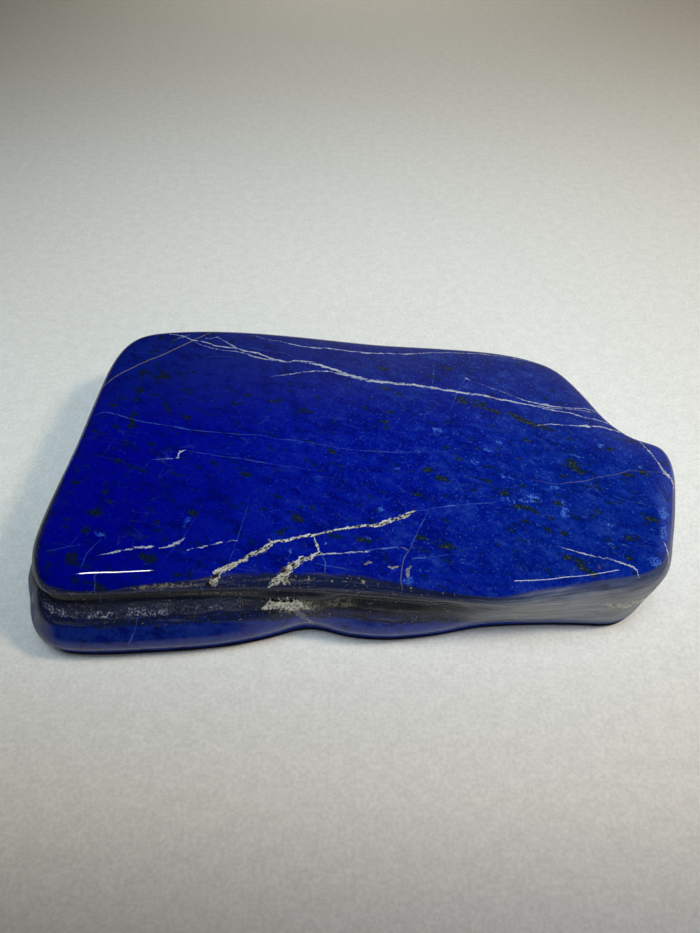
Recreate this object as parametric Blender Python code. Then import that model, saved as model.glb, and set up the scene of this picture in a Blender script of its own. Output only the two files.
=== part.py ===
"""Polished free-form slab of lapis lazuli, modelled as one solid stone.

The slab lies on its flat underside. An upper slab with a rounded rim overhangs a
groove along the front and the left, and a lower lobe bulges out below that groove.
"""

from dataclasses import dataclass

import bmesh
import bpy
from mathutils import Vector
from mathutils.geometry import interpolate_bezier

MM = 0.001

THICKNESS = 32.0
"""Height of the polished top above the flat underside, in millimetres."""

GROOVE_DEPTH = 3.4
"""How far a full groove cuts in behind the rim, in millimetres."""

POINTS_PER_STATION = 3
"""Mesh points from one station of the outline to the next."""

CAP_RINGS = (0.72, 0.36)
"""Sizes of the rings that carry the flat faces, as shares of the face's own outline."""

STONE_BLUE = (0.012, 0.022, 0.27, 1.0)
STONE_ROUGHNESS = 0.12


@dataclass(frozen=True)
class Station:
    """A place on the slab's outline, in millimetres from the middle of the slab.

    groove says how far the undercut below the rim is developed there, from 0 to 1.
    """

    place: str
    rim: tuple
    lobe: tuple
    groove: float


@dataclass(frozen=True)
class Level:
    """A horizontal section of the slab.

    lean is how far the outline has gone from the rim's to the lobe's where the side is
    plain, and shelf is the same where the groove is full. inset is how far the section
    lies inside that outline, in millimetres, and cut is its share of the groove's depth.
    """

    height: float
    lean: float
    shelf: float
    inset: float
    cut: float


STATIONS = (
    Station("left side, front", (-107.1, -41.1), (-113.6, -40.1), 0.60),
    Station("front left corner, left", (-104.2, -52.6), (-111.0, -54.6), 0.85),
    Station("front left corner, front", (-98.6, -59.7), (-105.6, -64.9), 1.00),
    Station("front, left end", (-89.4, -61.3), (-95.8, -70.1), 1.00),
    Station("front, lobe's middle", (-65.2, -59.9), (-69.2, -69.7), 1.00),
    Station("front, lobe's right", (-43.2, -59.1), (-45.2, -67.7), 0.90),
    Station("front, before the waist", (-27.2, -58.8), (-29.2, -64.3), 0.75),
    Station("waist", (-16.4, -59.0), (-16.9, -60.9), 0.60),
    Station("front, after the waist", (-3.4, -59.8), (-4.4, -63.9), 0.60),
    Station("front, small lobe", (10.8, -61.1), (9.8, -65.1), 0.60),
    Station("front, small lobe's end", (26.8, -62.8), (25.8, -63.5), 0.50),
    Station("front, widest rim", (42.8, -64.2), (40.8, -60.5), 0.30),
    Station("front, right of the rim", (58.8, -63.3), (58.8, -59.5), 0.10),
    Station("front, right", (76.8, -60.4), (76.3, -59.1), 0.0),
    Station("front right corner, front", (89.3, -58.2), (86.2, -58.8), 0.0),
    Station("front right corner, right", (98.0, -53.3), (93.1, -54.9), 0.0),
    Station("right side, front", (103.9, -40.1), (97.8, -42.6), 0.0),
    Station("right side, middle", (109.8, -23.6), (103.0, -25.1), 0.0),
    Station("right tip, side", (113.5, -8.6), (105.8, -10.1), 0.0),
    Station("right tip, back", (111.7, 0.7), (104.2, -2.6), 0.0),
    Station("shoulder", (102.0, 6.1), (96.3, 2.9), 0.0),
    Station("hollow behind the shoulder", (95.2, 15.1), (90.3, 12.9), 0.0),
    Station("back right corner, right", (89.0, 30.7), (84.8, 28.4), 0.0),
    Station("back right corner, middle", (80.2, 45.5), (76.6, 42.3), 0.0),
    Station("back right corner, back", (62.8, 54.1), (60.8, 51.9), 0.0),
    Station("back, right", (38.8, 58.1), (37.8, 56.9), 0.0),
    Station("back, middle", (8.8, 60.9), (7.8, 60.7), 0.0),
    Station("back, left of the middle", (-23.2, 66.2), (-24.2, 66.2), 0.0),
    Station("back, left", (-51.2, 69.8), (-53.2, 69.9), 0.0),
    Station("back left corner, back", (-78.8, 69.8), (-80.8, 70.1), 0.0),
    Station("back left corner, middle", (-94.2, 65.3), (-96.6, 66.1), 0.0),
    Station("back left corner, left", (-101.2, 51.9), (-104.2, 51.9), 0.05),
    Station("left side, back", (-103.4, 27.9), (-108.0, 27.9), 0.15),
    Station("left side, middle", (-104.4, 2.9), (-111.0, 2.9), 0.30),
    Station("left side, before the lobe", (-106.4, -21.1), (-113.2, -21.1), 0.45),
)

LEVELS = (
    Level(0.0, 1.0, 1.0, 7.0, 0.0),
    Level(0.6, 1.0, 1.0, 4.8, 0.0),
    Level(1.8, 1.0, 1.0, 2.8, 0.0),
    Level(3.8, 1.0, 1.0, 1.2, 0.0),
    Level(6.4, 1.0, 1.0, 0.25, 0.0),
    Level(9.0, 0.96, 1.0, 0.0, 0.0),
    Level(12.0, 0.85, 0.94, 0.0, 0.0),
    Level(15.0, 0.68, 0.82, 0.0, 0.0),
    Level(17.6, 0.50, 0.66, 0.0, 0.1),
    Level(19.6, 0.34, 0.46, 0.0, 0.4),
    Level(21.2, 0.22, 0.22, 0.0, 0.8),
    Level(23.0, 0.12, 0.04, 0.0, 1.0),
    Level(24.6, 0.05, 0.0, 0.1, 0.55),
    Level(26.0, 0.0, 0.0, 0.0, 0.08),
    Level(27.8, 0.0, 0.0, 0.35, 0.0),
    Level(29.6, 0.0, 0.0, 1.4, 0.0),
    Level(30.9, 0.0, 0.0, 3.0, 0.0),
    Level(31.6, 0.0, 0.0, 5.0, 0.0),
    Level(THICKNESS, 0.0, 0.0, 7.6, 0.0),
)


def smooth_outline(corners):
    """Points of a smooth closed curve through the corners, the same number between each two."""
    count = len(corners)
    points = []
    for i, here in enumerate(corners):
        after = corners[(i + 1) % count]
        leaving = (after - corners[i - 1]).normalized()
        arriving = (corners[(i + 2) % count] - here).normalized()
        reach = (after - here).length / 3
        stretch = interpolate_bezier(
            here, here + leaving * reach, after - arriving * reach, after, POINTS_PER_STATION + 1
        )
        points.extend(stretch[:-1])
    return points


def groove_shares():
    """The groove's development at each mesh point of the outline, from 0 to 1."""
    shares = []
    for i, station in enumerate(STATIONS):
        after = STATIONS[(i + 1) % len(STATIONS)]
        for step in range(POINTS_PER_STATION):
            part = step / POINTS_PER_STATION
            shares.append(station.groove * (1 - part) + after.groove * part)
    return shares


def inward(points):
    """Unit vectors that point into a counterclockwise outline, one at each of its points."""
    count = len(points)
    directions = []
    for i in range(count):
        along = points[(i + 1) % count] - points[i - 1]
        directions.append(Vector((-along.y, along.x, 0)).normalized())
    return directions


def section(level, rim, lobe, grooves):
    """The slab's outline at one level, in millimetres."""
    outline = []
    for rim_point, lobe_point, groove in zip(rim, lobe, grooves):
        lean = level.lean * (1 - groove) + level.shelf * groove
        outline.append(rim_point.lerp(lobe_point, lean))
    placed = []
    for point, direction, groove in zip(outline, inward(outline), grooves):
        depth = level.inset + level.cut * GROOVE_DEPTH * groove
        placed.append(point + direction * depth + Vector((0, 0, level.height)))
    return placed


def shrunk(points, share):
    """A smaller copy of a flat outline about its middle."""
    middle = sum(points, Vector()) / len(points)
    return [middle.lerp(point, share) for point in points]


def add_ring(mesh, points):
    """A closed loop of edges through the points, given in millimetres."""
    corners = [mesh.verts.new(point * MM) for point in points]
    return [mesh.edges.new((corners[i - 1], corners[i])) for i in range(len(corners))]


def stone_rings():
    """Every outline of the slab in order, from the middle of the underside to the middle of the top."""
    rim = smooth_outline([Vector((*station.rim, 0)) for station in STATIONS])
    lobe = smooth_outline([Vector((*station.lobe, 0)) for station in STATIONS])
    grooves = groove_shares()
    sides = [section(level, rim, lobe, grooves) for level in LEVELS]
    underside = [shrunk(sides[0], share) for share in reversed(CAP_RINGS)]
    top = [shrunk(sides[-1], share) for share in CAP_RINGS]
    return underside + sides + top


def centred(rings):
    """The same rings, moved so that the slab's box has its middle on the vertical axis."""
    across = [point.x for ring in rings for point in ring]
    deep = [point.y for ring in rings for point in ring]
    middle = Vector((min(across) + max(across), min(deep) + max(deep), 0)) / 2
    return [[point - middle for point in ring] for ring in rings]


def stone_material():
    """Polished deep blue stone."""
    material = bpy.data.materials.new("lapis")
    material.use_nodes = True
    shader = material.node_tree.nodes["Principled BSDF"]
    shader.inputs["Base Color"].default_value = STONE_BLUE
    shader.inputs["Roughness"].default_value = STONE_ROUGHNESS
    shader.inputs["Metallic"].default_value = 0.0
    material.diffuse_color = STONE_BLUE
    return material


def make_slab():
    """The stone: rings bridged one to the next, closed by a flat face at each end."""
    mesh = bmesh.new()
    rings = [add_ring(mesh, points) for points in centred(stone_rings())]
    for lower, upper in zip(rings, rings[1:]):
        bmesh.ops.bridge_loops(mesh, edges=lower + upper)
    bmesh.ops.edgeloop_fill(mesh, edges=rings[0])
    bmesh.ops.edgeloop_fill(mesh, edges=rings[-1])
    bmesh.ops.recalc_face_normals(mesh, faces=mesh.faces)
    data = bpy.data.meshes.new("lapis_slab")
    mesh.to_mesh(data)
    mesh.free()
    data.shade_smooth()
    data.materials.append(stone_material())
    slab = bpy.data.objects.new("lapis_slab", data)
    bpy.context.scene.collection.objects.link(slab)
    return slab


def clear_scene():
    """Remove whatever the scene holds."""
    for item in list(bpy.data.objects):
        bpy.data.objects.remove(item)


clear_scene()
make_slab()
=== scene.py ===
"""Looks of a polished free-form slab of lapis lazuli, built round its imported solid.

The stone is one piece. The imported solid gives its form, which is rounded off here,
roughened where crystals and pits show, and dressed in one procedural finish: a blue
ground with light wisps and dark golden flecks, calcite veins, and the bedded grey
matrix that shows round the sides. Every place and size inside the finish is in
millimetres, in the slab's own frame.
"""
import logging
import math
import random
from dataclasses import dataclass, field
from enum import Enum
from typing import Iterable, Optional, Sequence, Union

import bmesh
import bpy
from mathutils import Matrix, Vector, noise
from mathutils.bvhtree import BVHTree


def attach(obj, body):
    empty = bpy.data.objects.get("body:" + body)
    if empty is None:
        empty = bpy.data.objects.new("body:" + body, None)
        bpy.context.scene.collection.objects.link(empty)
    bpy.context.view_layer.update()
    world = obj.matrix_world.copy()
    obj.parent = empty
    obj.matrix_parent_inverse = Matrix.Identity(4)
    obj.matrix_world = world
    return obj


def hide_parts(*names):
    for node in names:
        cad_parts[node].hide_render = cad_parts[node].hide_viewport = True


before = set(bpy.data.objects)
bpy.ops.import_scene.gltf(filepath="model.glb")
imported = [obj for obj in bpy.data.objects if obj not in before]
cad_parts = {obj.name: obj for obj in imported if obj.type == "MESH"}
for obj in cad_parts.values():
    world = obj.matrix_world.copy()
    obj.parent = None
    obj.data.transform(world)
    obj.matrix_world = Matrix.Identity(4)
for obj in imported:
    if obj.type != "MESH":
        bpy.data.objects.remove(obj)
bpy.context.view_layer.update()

"""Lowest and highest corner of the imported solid, in metres."""

MM = 0.001
"""One millimetre in the scene's metres."""

PER_MM = 1000.0
"""Turns metres into millimetres."""

TOP = 32.0
"""Height of the polished top above the underside, in millimetres."""

END_TAPER = 1.0
"""How far beyond its last point a vein has thinned out to nothing, in millimetres."""

FLECK_TURN_DEG = -25.0
"""The way the flecks run, from the x axis."""

Colour = tuple[float, float, float]
Beds = tuple[tuple[float, Colour], ...]
Mark = tuple[float, float, float, float, float]
Line = tuple[tuple[float, float], ...]
Feed = Union[float, Sequence[float], bpy.types.NodeSocket]
Feeds = dict[Union[str, int], Feed]

log = logging.getLogger("lapis")


class Facing(Enum):
    """The way a vein's line is read: from above, or from the front along the slab's depth."""

    PLAN = "plan"
    FRONT = "front"


class Filling(Enum):
    """What a vein is filled with."""

    CALCITE = "calcite"
    PITTED = "pitted"
    TAN = "tan"
    FAINT = "faint"


class Bend(Enum):
    """How a curve runs from one of its points to the next."""

    SMOOTH = "AUTO_CLAMPED"
    STRAIGHT = "VECTOR"


@dataclass(frozen=True)
class Vein:
    """One vein, traced along its middle.

    Each point is (across, deep, half width) in millimetres: x, y for a vein seen in plan,
    x, z for one seen from the front. strength is how fully the vein covers the ground.
    """

    name: str
    filling: Filling
    points: tuple[tuple[float, float, float], ...]
    facing: Facing = Facing.PLAN
    strength: float = 1.0


@dataclass(frozen=True)
class Spot:
    """A soft oval place in millimetres where something gathers, turned in plan."""

    name: str
    place: tuple[float, float, float]
    half_size: tuple[float, float, float]
    turn_deg: float = 0.0
    strength: float = 1.0


@dataclass(frozen=True)
class Pit:
    """A small hole in the polish, in millimetres."""

    place: tuple[float, float, float]
    radius: float
    depth: float


class Bench:
    """A workbench for one node tree: it adds nodes, feeds their sockets and wires them."""

    def __init__(self, tree: bpy.types.NodeTree) -> None:
        """Keep the tree that the nodes go into.

        Args:
            tree: A material's, a world's or a group's node tree.
        """
        self.tree = tree

    def feed(self, socket: bpy.types.NodeSocket, value: Feed) -> None:
        """Link an output to a socket, or set a constant on it.

        Args:
            socket: The input to feed.
            value: An output socket, a number, a colour or a vector.
        """
        if isinstance(value, bpy.types.NodeSocket):
            self.tree.links.new(value, socket)
        elif socket.type == "RGBA" and len(value) == 3:
            socket.default_value = (*value, 1.0)
        else:
            socket.default_value = value

    def add(self, kind: str, feeds: Optional[Feeds] = None, **settings: object) -> bpy.types.Node:
        """Add a node.

        Args:
            kind: The node's type.
            feeds: What goes into its sockets, by their name or number.
            **settings: Properties of the node.

        Returns:
            The new node.
        """
        node = self.tree.nodes.new(kind)
        for name, value in settings.items():
            setattr(node, name, value)
        for key, value in (feeds or {}).items():
            self.feed(node.inputs[key], value)
        return node

    def maths(self, operation: str, *values: Feed, clamp: bool = False) -> bpy.types.NodeSocket:
        """Work on numbers.

        Args:
            operation: The Math node's operation.
            *values: Its one to three inputs.
            clamp: Whether the result is kept from 0 to 1.

        Returns:
            The result.
        """
        node = self.add("ShaderNodeMath", dict(enumerate(values)), operation=operation, use_clamp=clamp)
        return node.outputs[0]

    def plus(self, first: Feed, second: Feed) -> bpy.types.NodeSocket:
        """Add two numbers."""
        return self.maths("ADD", first, second)

    def minus(self, first: Feed, second: Feed) -> bpy.types.NodeSocket:
        """Take the second number from the first."""
        return self.maths("SUBTRACT", first, second)

    def times(self, first: Feed, second: Feed) -> bpy.types.NodeSocket:
        """Multiply two numbers."""
        return self.maths("MULTIPLY", first, second)

    def linear(self, value: Feed, gain: Feed, start: Feed) -> bpy.types.NodeSocket:
        """Multiply a number by a gain, then add a start to it."""
        return self.maths("MULTIPLY_ADD", value, gain, start)

    def vectors(self, operation: str, *values: Feed, out: str = "Vector") -> bpy.types.NodeSocket:
        """Work on vectors.

        Args:
            operation: The Vector Math node's operation.
            *values: Its inputs.
            out: The output that is wanted.

        Returns:
            The result.
        """
        node = self.add("ShaderNodeVectorMath", operation=operation)
        for number, value in enumerate(values):
            name = "Scale" if operation == "SCALE" and number == 1 else number
            self.feed(node.inputs[name], value)
        return node.outputs[out]

    def join(self, x: Feed, y: Feed, z: Feed) -> bpy.types.NodeSocket:
        """Make a vector of three numbers.

        Args:
            x: The first.
            y: The second.
            z: The third.

        Returns:
            The vector.
        """
        return self.add("ShaderNodeCombineXYZ", {0: x, 1: y, 2: z}).outputs[0]

    def split(self, vector: Feed) -> tuple[bpy.types.NodeSocket, ...]:
        """Take a vector apart.

        Args:
            vector: The vector.

        Returns:
            Its x, y and z.
        """
        return tuple(self.add("ShaderNodeSeparateXYZ", {0: vector}).outputs)

    def blend(self, share: Feed, low: Feed, high: Feed) -> bpy.types.NodeSocket:
        """Mix two colours.

        Args:
            share: 0 for the first, 1 for the second.
            low: The first colour.
            high: The second colour.

        Returns:
            The mixed colour.
        """
        feeds = {0: share, 6: low, 7: high}
        return self.add("ShaderNodeMix", feeds, data_type="RGBA").outputs[2]

    def between(self, share: Feed, low: Feed, high: Feed) -> bpy.types.NodeSocket:
        """Mix two numbers.

        Args:
            share: 0 for the first, 1 for the second.
            low: The first number.
            high: The second number.

        Returns:
            The mixed number.
        """
        return self.add("ShaderNodeMix", {0: share, 2: low, 3: high}, data_type="FLOAT").outputs[0]

    def step(self, value: Feed, low: Feed, high: Feed) -> bpy.types.NodeSocket:
        """Rise smoothly from 0 to 1.

        Args:
            value: The number that is read.
            low: Where the result leaves 0.
            high: Where it reaches 1. It may lie below low, and the result then falls.

        Returns:
            The share from 0 to 1.
        """
        feeds = {0: value, 1: low, 2: high}
        return self.add("ShaderNodeMapRange", feeds, interpolation_type="SMOOTHSTEP").outputs[0]

    def beds(self, height: Feed, beds: Beds) -> bpy.types.NodeSocket:
        """Read a colour from beds laid one over the other.

        Args:
            height: How high in the beds it is read, from 0 to 1.
            beds: The beds' heights and colours, from the lowest up.

        Returns:
            The colour.
        """
        node = self.add("ShaderNodeValToRGB", {"Fac": height})
        stops = node.color_ramp.elements
        first, *middle, last = beds
        stops[0].position, stops[0].color = first[0], (*first[1], 1.0)
        stops[1].position, stops[1].color = last[0], (*last[1], 1.0)
        for place, colour in middle:
            stops.new(place).color = (*colour, 1.0)
        return node.outputs[0]

    def cloud(
        self, place: Feed, size: float, detail: float = 2.0, rough: float = 0.5,
    ) -> bpy.types.NodeSocket:
        """Fractal noise from 0 to 1.

        Args:
            place: Where it is read, in millimetres.
            size: The size of its largest lumps, in millimetres.
            detail: How many finer layers are added.
            rough: How strong the finer layers are.

        Returns:
            The noise.
        """
        feeds = {"Vector": place, "Scale": 1.0 / size, "Detail": detail, "Roughness": rough}
        return self.add("ShaderNodeTexNoise", feeds).outputs[0]

    def curve(
        self, value: Feed, points: Iterable[tuple[float, float]], bend: Bend = Bend.SMOOTH,
    ) -> bpy.types.NodeSocket:
        """Read a curve through points, level beyond its ends.

        Args:
            value: Where along the curve it is read.
            points: The curve's points, in rising order.
            bend: How it runs between them.

        Returns:
            The curve's height.
        """
        node = self.add("ShaderNodeFloatCurve", {"Value": value})
        node.mapping.use_clip = False
        node.mapping.extend = "HORIZONTAL"
        line = node.mapping.curves[0]
        first, *middle, last = points
        line.points[0].location = first
        line.points[1].location = last
        for point in middle:
            line.points.new(*point)
        for point in line.points:
            point.handle_type = bend.value
        node.mapping.update()
        return node.outputs[0]

    def group(self, tree: bpy.types.NodeTree, feeds: dict[str, Feed]) -> bpy.types.Node:
        """Place a node group.

        Args:
            tree: The group.
            feeds: What goes into its inputs.

        Returns:
            The group's node.
        """
        node = self.add("ShaderNodeGroup", node_tree=tree)
        for name, value in feeds.items():
            self.feed(node.inputs[name], value)
        return node

    def most(self, values: Sequence[bpy.types.NodeSocket]) -> bpy.types.NodeSocket:
        """The largest of several numbers.

        Args:
            values: The numbers.

        Returns:
            The largest.
        """
        result = values[0]
        for value in values[1:]:
            result = self.maths("MAXIMUM", result, value)
        return result


def new_group(
    name: str, inputs: dict[str, str], outputs: dict[str, str],
) -> tuple[Bench, dict[str, bpy.types.NodeSocket], bpy.types.Node]:
    """Start a shader node group.

    Args:
        name: The group's name.
        inputs: The inputs' names, each with "Float" or "Vector".
        outputs: The outputs' names, in the same way.

    Returns:
        The bench, the input sockets by name, and the output node.
    """
    tree = bpy.data.node_groups.new(name, "ShaderNodeTree")
    for label, kind in inputs.items():
        tree.interface.new_socket(label, in_out="INPUT", socket_type="NodeSocket" + kind)
    for label, kind in outputs.items():
        tree.interface.new_socket(label, in_out="OUTPUT", socket_type="NodeSocket" + kind)
    bench = Bench(tree)
    came = bench.add("NodeGroupInput")
    leaves = bench.add("NodeGroupOutput")
    return bench, {label: came.outputs[label] for label in inputs}, leaves


def sheet_group() -> bpy.types.NodeTree:
    """A vein's upright sheet: how far along its heading a place lies, and how far aside.

    Returns:
        The group.
    """
    inputs = {"Place": "Vector", "Heading": "Vector", "Across": "Vector"}
    bench, came, leaves = new_group("vein sheet", inputs, {"Along": "Float", "Aside": "Float"})
    along = bench.vectors("DOT_PRODUCT", came["Place"], came["Heading"], out="Value")
    aside = bench.vectors("DOT_PRODUCT", came["Place"], came["Across"], out="Value")
    bench.feed(leaves.inputs["Along"], along)
    bench.feed(leaves.inputs["Aside"], aside)
    return bench.tree


def line_group() -> bpy.types.NodeTree:
    """A line of some width: 1 inside it, 0 outside, with a soft and ragged edge.

    Returns:
        The group.
    """
    inputs = {name: "Float" for name in ("Aside", "Middle", "Half Width", "Ragged", "Soft", "Strength")}
    bench, came, leaves = new_group("vein line", inputs, {"Mask": "Float"})
    away = bench.maths("ABSOLUTE", bench.minus(came["Aside"], came["Middle"]))
    width = bench.times(came["Half Width"], came["Ragged"])
    inside = bench.maths("DIVIDE", bench.minus(width, away), came["Soft"])
    share = bench.maths("ADD", inside, 0.5, clamp=True)
    some = bench.step(came["Half Width"], 0.0, 0.12)
    mask = bench.times(bench.times(share, some), came["Strength"])
    bench.feed(leaves.inputs["Mask"], mask)
    return bench.tree


def spot_group() -> bpy.types.NodeTree:
    """A soft oval: 1 at its middle, 0 from its edge outwards.

    Returns:
        The group.
    """
    inputs = {
        "Place": "Vector", "Centre": "Vector", "Half Size": "Vector", "Turn": "Float",
        "Strength": "Float",
    }
    bench, came, leaves = new_group("spot", inputs, {"Mask": "Float"})
    away = bench.vectors("SUBTRACT", came["Place"], came["Centre"])
    feeds = {"Vector": away, "Angle": came["Turn"]}
    turned = bench.add("ShaderNodeVectorRotate", feeds, rotation_type="Z_AXIS").outputs[0]
    far = bench.vectors("LENGTH", bench.vectors("DIVIDE", turned, came["Half Size"]), out="Value")
    mask = bench.times(bench.step(far, 1.0, 0.35), came["Strength"])
    bench.feed(leaves.inputs["Mask"], mask)
    return bench.tree


CALCITE_VEINS = (
    Vein("main vein", Filling.CALCITE, (
        (-79.8, 64.8, 0.15), (-76.2, 63.7, 0.2), (-73.0, 62.4, 0.3), (-68.9, 60.0, 0.25),
        (-65.0, 59.2, 0.25), (-61.4, 57.6, 0.3), (-57.9, 56.0, 0.3), (-54.4, 55.0, 0.35),
        (-50.6, 54.7, 0.55), (-48.5, 54.0, 0.45), (-45.9, 52.7, 0.45), (-42.1, 51.7, 0.5),
        (-39.1, 50.4, 0.35), (-35.6, 48.0, 0.5), (-32.2, 46.9, 0.45), (-28.5, 45.9, 0.4),
        (-22.4, 46.3, 0.55), (-16.7, 44.4, 0.6), (-11.0, 41.9, 0.6), (-5.3, 38.8, 0.65),
        (1.1, 35.7, 0.8), (7.4, 33.9, 0.65), (13.7, 32.8, 0.6), (23.0, 31.3, 0.7), (29.2, 30.0, 0.6),
        (35.3, 28.6, 0.6), (41.4, 27.0, 0.6), (47.5, 25.7, 0.5), (54.9, 23.5, 0.4), (62.2, 21.2, 0.35))),
    Vein("lower strand at the left", Filling.CALCITE, (
        (-68.3, 59.0, 0.1), (-64.6, 56.6, 0.15), (-59.3, 54.3, 0.2), (-54.2, 53.0, 0.15),
        (-49.1, 52.4, 0.25), (-45.7, 51.1, 0.25), (-41.4, 48.8, 0.3), (-37.2, 47.4, 0.3),
        (-33.1, 46.7, 0.15)), strength=0.8),
    Vein("strand over the left end", Filling.CALCITE, (
        (-70.7, 64.1, 0.1), (-73.0, 62.2, 0.25), (-75.3, 61.0, 0.15), (-78.3, 58.6, 0.05)), strength=0.7),
    Vein("knotted strand", Filling.CALCITE, (
        (-64.0, 61.5, 0.1), (-61.1, 61.4, 0.15), (-59.0, 62.1, 0.35), (-56.7, 60.3, 0.15),
        (-53.9, 58.0, 0.3), (-50.7, 55.4, 0.3)), strength=0.85),
    Vein("upper right strand", Filling.CALCITE, (
        (43.1, 35.7, 0.30), (45.0, 34.2, 0.06), (48.3, 32.4, 0.08), (52.7, 29.8, 0.10),
        (58.4, 26.3, 0.12), (62.6, 23.8, 0.15), (65.5, 22.3, 0.25), (69.8, 20.6, 0.3), (72.4, 20.1, 0.7),
        (74.2, 19.5, 0.3), (77.1, 19.0, 0.3), (83.0, 18.3, 0.25), (89.0, 17.9, 0.25), (92.2, 17.0, 0.2)),
        strength=0.85),
    Vein("middle right strand", Filling.CALCITE, (
        (67.1, 20.6, 0.15), (71.7, 18.9, 0.3), (76.9, 18.1, 0.25), (82.1, 17.5, 0.15),
        (87.2, 16.7, 0.2), (92.4, 15.9, 0.1)), strength=0.7),
    Vein("lower right strand", Filling.CALCITE, (
        (62.2, 21.2, 0.35), (68.0, 19.3, 0.3), (73.7, 17.3, 0.25), (79.5, 15.7, 0.25),
        (85.0, 13.5, 0.3), (90.6, 11.9, 0.3), (94.8, 10.6, 0.2)), strength=0.95),
    Vein("back vein", Filling.CALCITE, (
        (-45.3, 63.7, 0.05), (-42.7, 63.0, 0.1), (-38.7, 61.0, 0.15), (-32.3, 59.3, 0.2),
        (-27.1, 57.3, 0.25), (-22.5, 55.8, 0.2), (-17.8, 54.8, 0.3), (-12.0, 54.5, 0.25),
        (-3.7, 53.0, 0.3), (4.5, 51.6, 0.3), (11.1, 51.4, 0.3), (22.6, 51.0, 0.3), (26.8, 51.5, 0.2),
        (30.9, 51.8, 0.15), (40.8, 51.8, 0.15), (50.7, 51.4, 0.2), (58.7, 50.1, 0.2),
        (64.6, 48.4, 0.25), (70.5, 46.9, 0.2), (74.3, 45.3, 0.1)), strength=0.9),
    Vein("short branch", Filling.CALCITE, (
        (-34.3, 36.6, 0.15), (-30.8, 37.3, 0.2), (-25.3, 38.4, 0.25), (-21.3, 39.4, 0.2),
        (-17.3, 40.0, 0.3), (-12.5, 39.9, 0.3), (-6.9, 38.2, 0.25), (-2.1, 36.4, 0.35),
        (2.6, 34.8, 0.3)), strength=0.9),
    Vein("notch vein", Filling.CALCITE, (
        (66.2, 9.0, 0.05), (69.2, 9.3, 0.2), (72.3, 9.8, 0.25), (76.6, 9.2, 0.2), (81.0, 8.9, 0.3),
        (83.6, 8.7, 0.4), (85.0, 8.6, 0.9), (86.5, 8.6, 0.4), (89.1, 8.5, 0.3), (93.3, 7.3, 0.35),
        (96.7, 6.4, 0.3))),
    Vein("jagged vein", Filling.CALCITE, (
        (-73.9, -8.4, 0.05), (-70.3, -8.2, 0.1), (-67.6, -7.7, 0.2), (-65.5, -7.5, 0.2),
        (-63.9, -7.3, 0.3)), strength=0.85),
    Vein("jagged vein's rise", Filling.CALCITE, (
        (-64.0, -7.5, 0.3), (-64.0, -5.5, 0.35), (-63.8, -4.5, 0.4), (-62.9, -3.9, 0.3),
        (-61.8, -3.5, 0.1))),
    Vein("front left vein", Filling.CALCITE, (
        (-83.0, -49.5, 0.05), (-80.6, -48.9, 0.1), (-78.9, -48.4, 0.25), (-77.1, -47.9, 0.3),
        (-75.9, -47.5, 0.5), (-74.4, -47.3, 0.2), (-72.3, -46.8, 0.55), (-70.7, -46.4, 0.5),
        (-68.9, -46.2, 0.65), (-67.3, -46.0, 0.5), (-66.1, -45.8, 0.45), (-65.1, -45.7, 0.05))),
    Vein("front left vein's end", Filling.CALCITE, (
        (-63.7, -46.7, 0.1), (-62.5, -46.3, 0.4), (-61.2, -46.1, 0.35), (-59.5, -45.2, 0.55),
        (-58.3, -44.5, 0.65), (-57.2, -43.6, 0.55), (-56.2, -42.5, 0.1))),
    Vein("dashed vein", Filling.CALCITE, (
        (-54.5, -47.2, 0.25), (-53.8, -46.9, 0.3), (-52.5, -46.7, 0.02), (-51.0, -46.2, 0.15),
        (-50.1, -46.1, 0.4), (-49.2, -45.7, 0.3), (-48.2, -45.5, 0.02), (-46.7, -45.0, 0.1),
        (-45.8, -44.7, 0.35), (-44.6, -44.3, 0.3), (-43.6, -44.1, 0.0), (-42.0, -43.9, 0.1),
        (-40.5, -43.6, 0.15), (-38.9, -43.5, 0.1)), strength=0.9),
    Vein("branch's far half", Filling.CALCITE, (
        (-12.4, -48.6, 0.4), (-10.5, -48.7, 0.35), (-8.0, -48.6, 0.3), (-4.8, -48.4, 0.35),
        (-1.9, -48.0, 0.55), (0.3, -47.9, 0.35), (2.5, -47.7, 0.3))),
    Vein("corner vein", Filling.CALCITE, (
        (102.7, 1.5, 0.15), (103.9, -2.1, 0.25), (105.1, -5.5, 0.3), (106.1, -9.4, 0.3),
        (106.9, -12.7, 0.5), (107.5, -14.1, 1.3), (108.5, -15.5, 0.9), (109.3, -17.3, 0.35),
        (109.3, -20.5, 0.1))),
    Vein("front right vein", Filling.CALCITE, (
        (62.9, -45.3, 0.05), (65.8, -46.6, 0.12), (68.8, -47.6, 0.2), (71.1, -48.6, 0.25),
        (73.5, -49.3, 0.25), (77.4, -50.3, 0.3), (79.4, -50.8, 0.3), (82.3, -51.9, 0.35),
        (84.5, -52.9, 0.4), (86.1, -54.0, 0.45), (86.7, -55.1, 0.5), (86.7, -56.2, 0.3))),
    Vein("right edge vein", Filling.CALCITE, (
        (98.2, -43.3, 0.05), (98.3, -44.5, 0.2), (98.6, -46.1, 0.25), (98.7, -48.4, 0.25),
        (98.4, -50.3, 0.1))),
)

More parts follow.
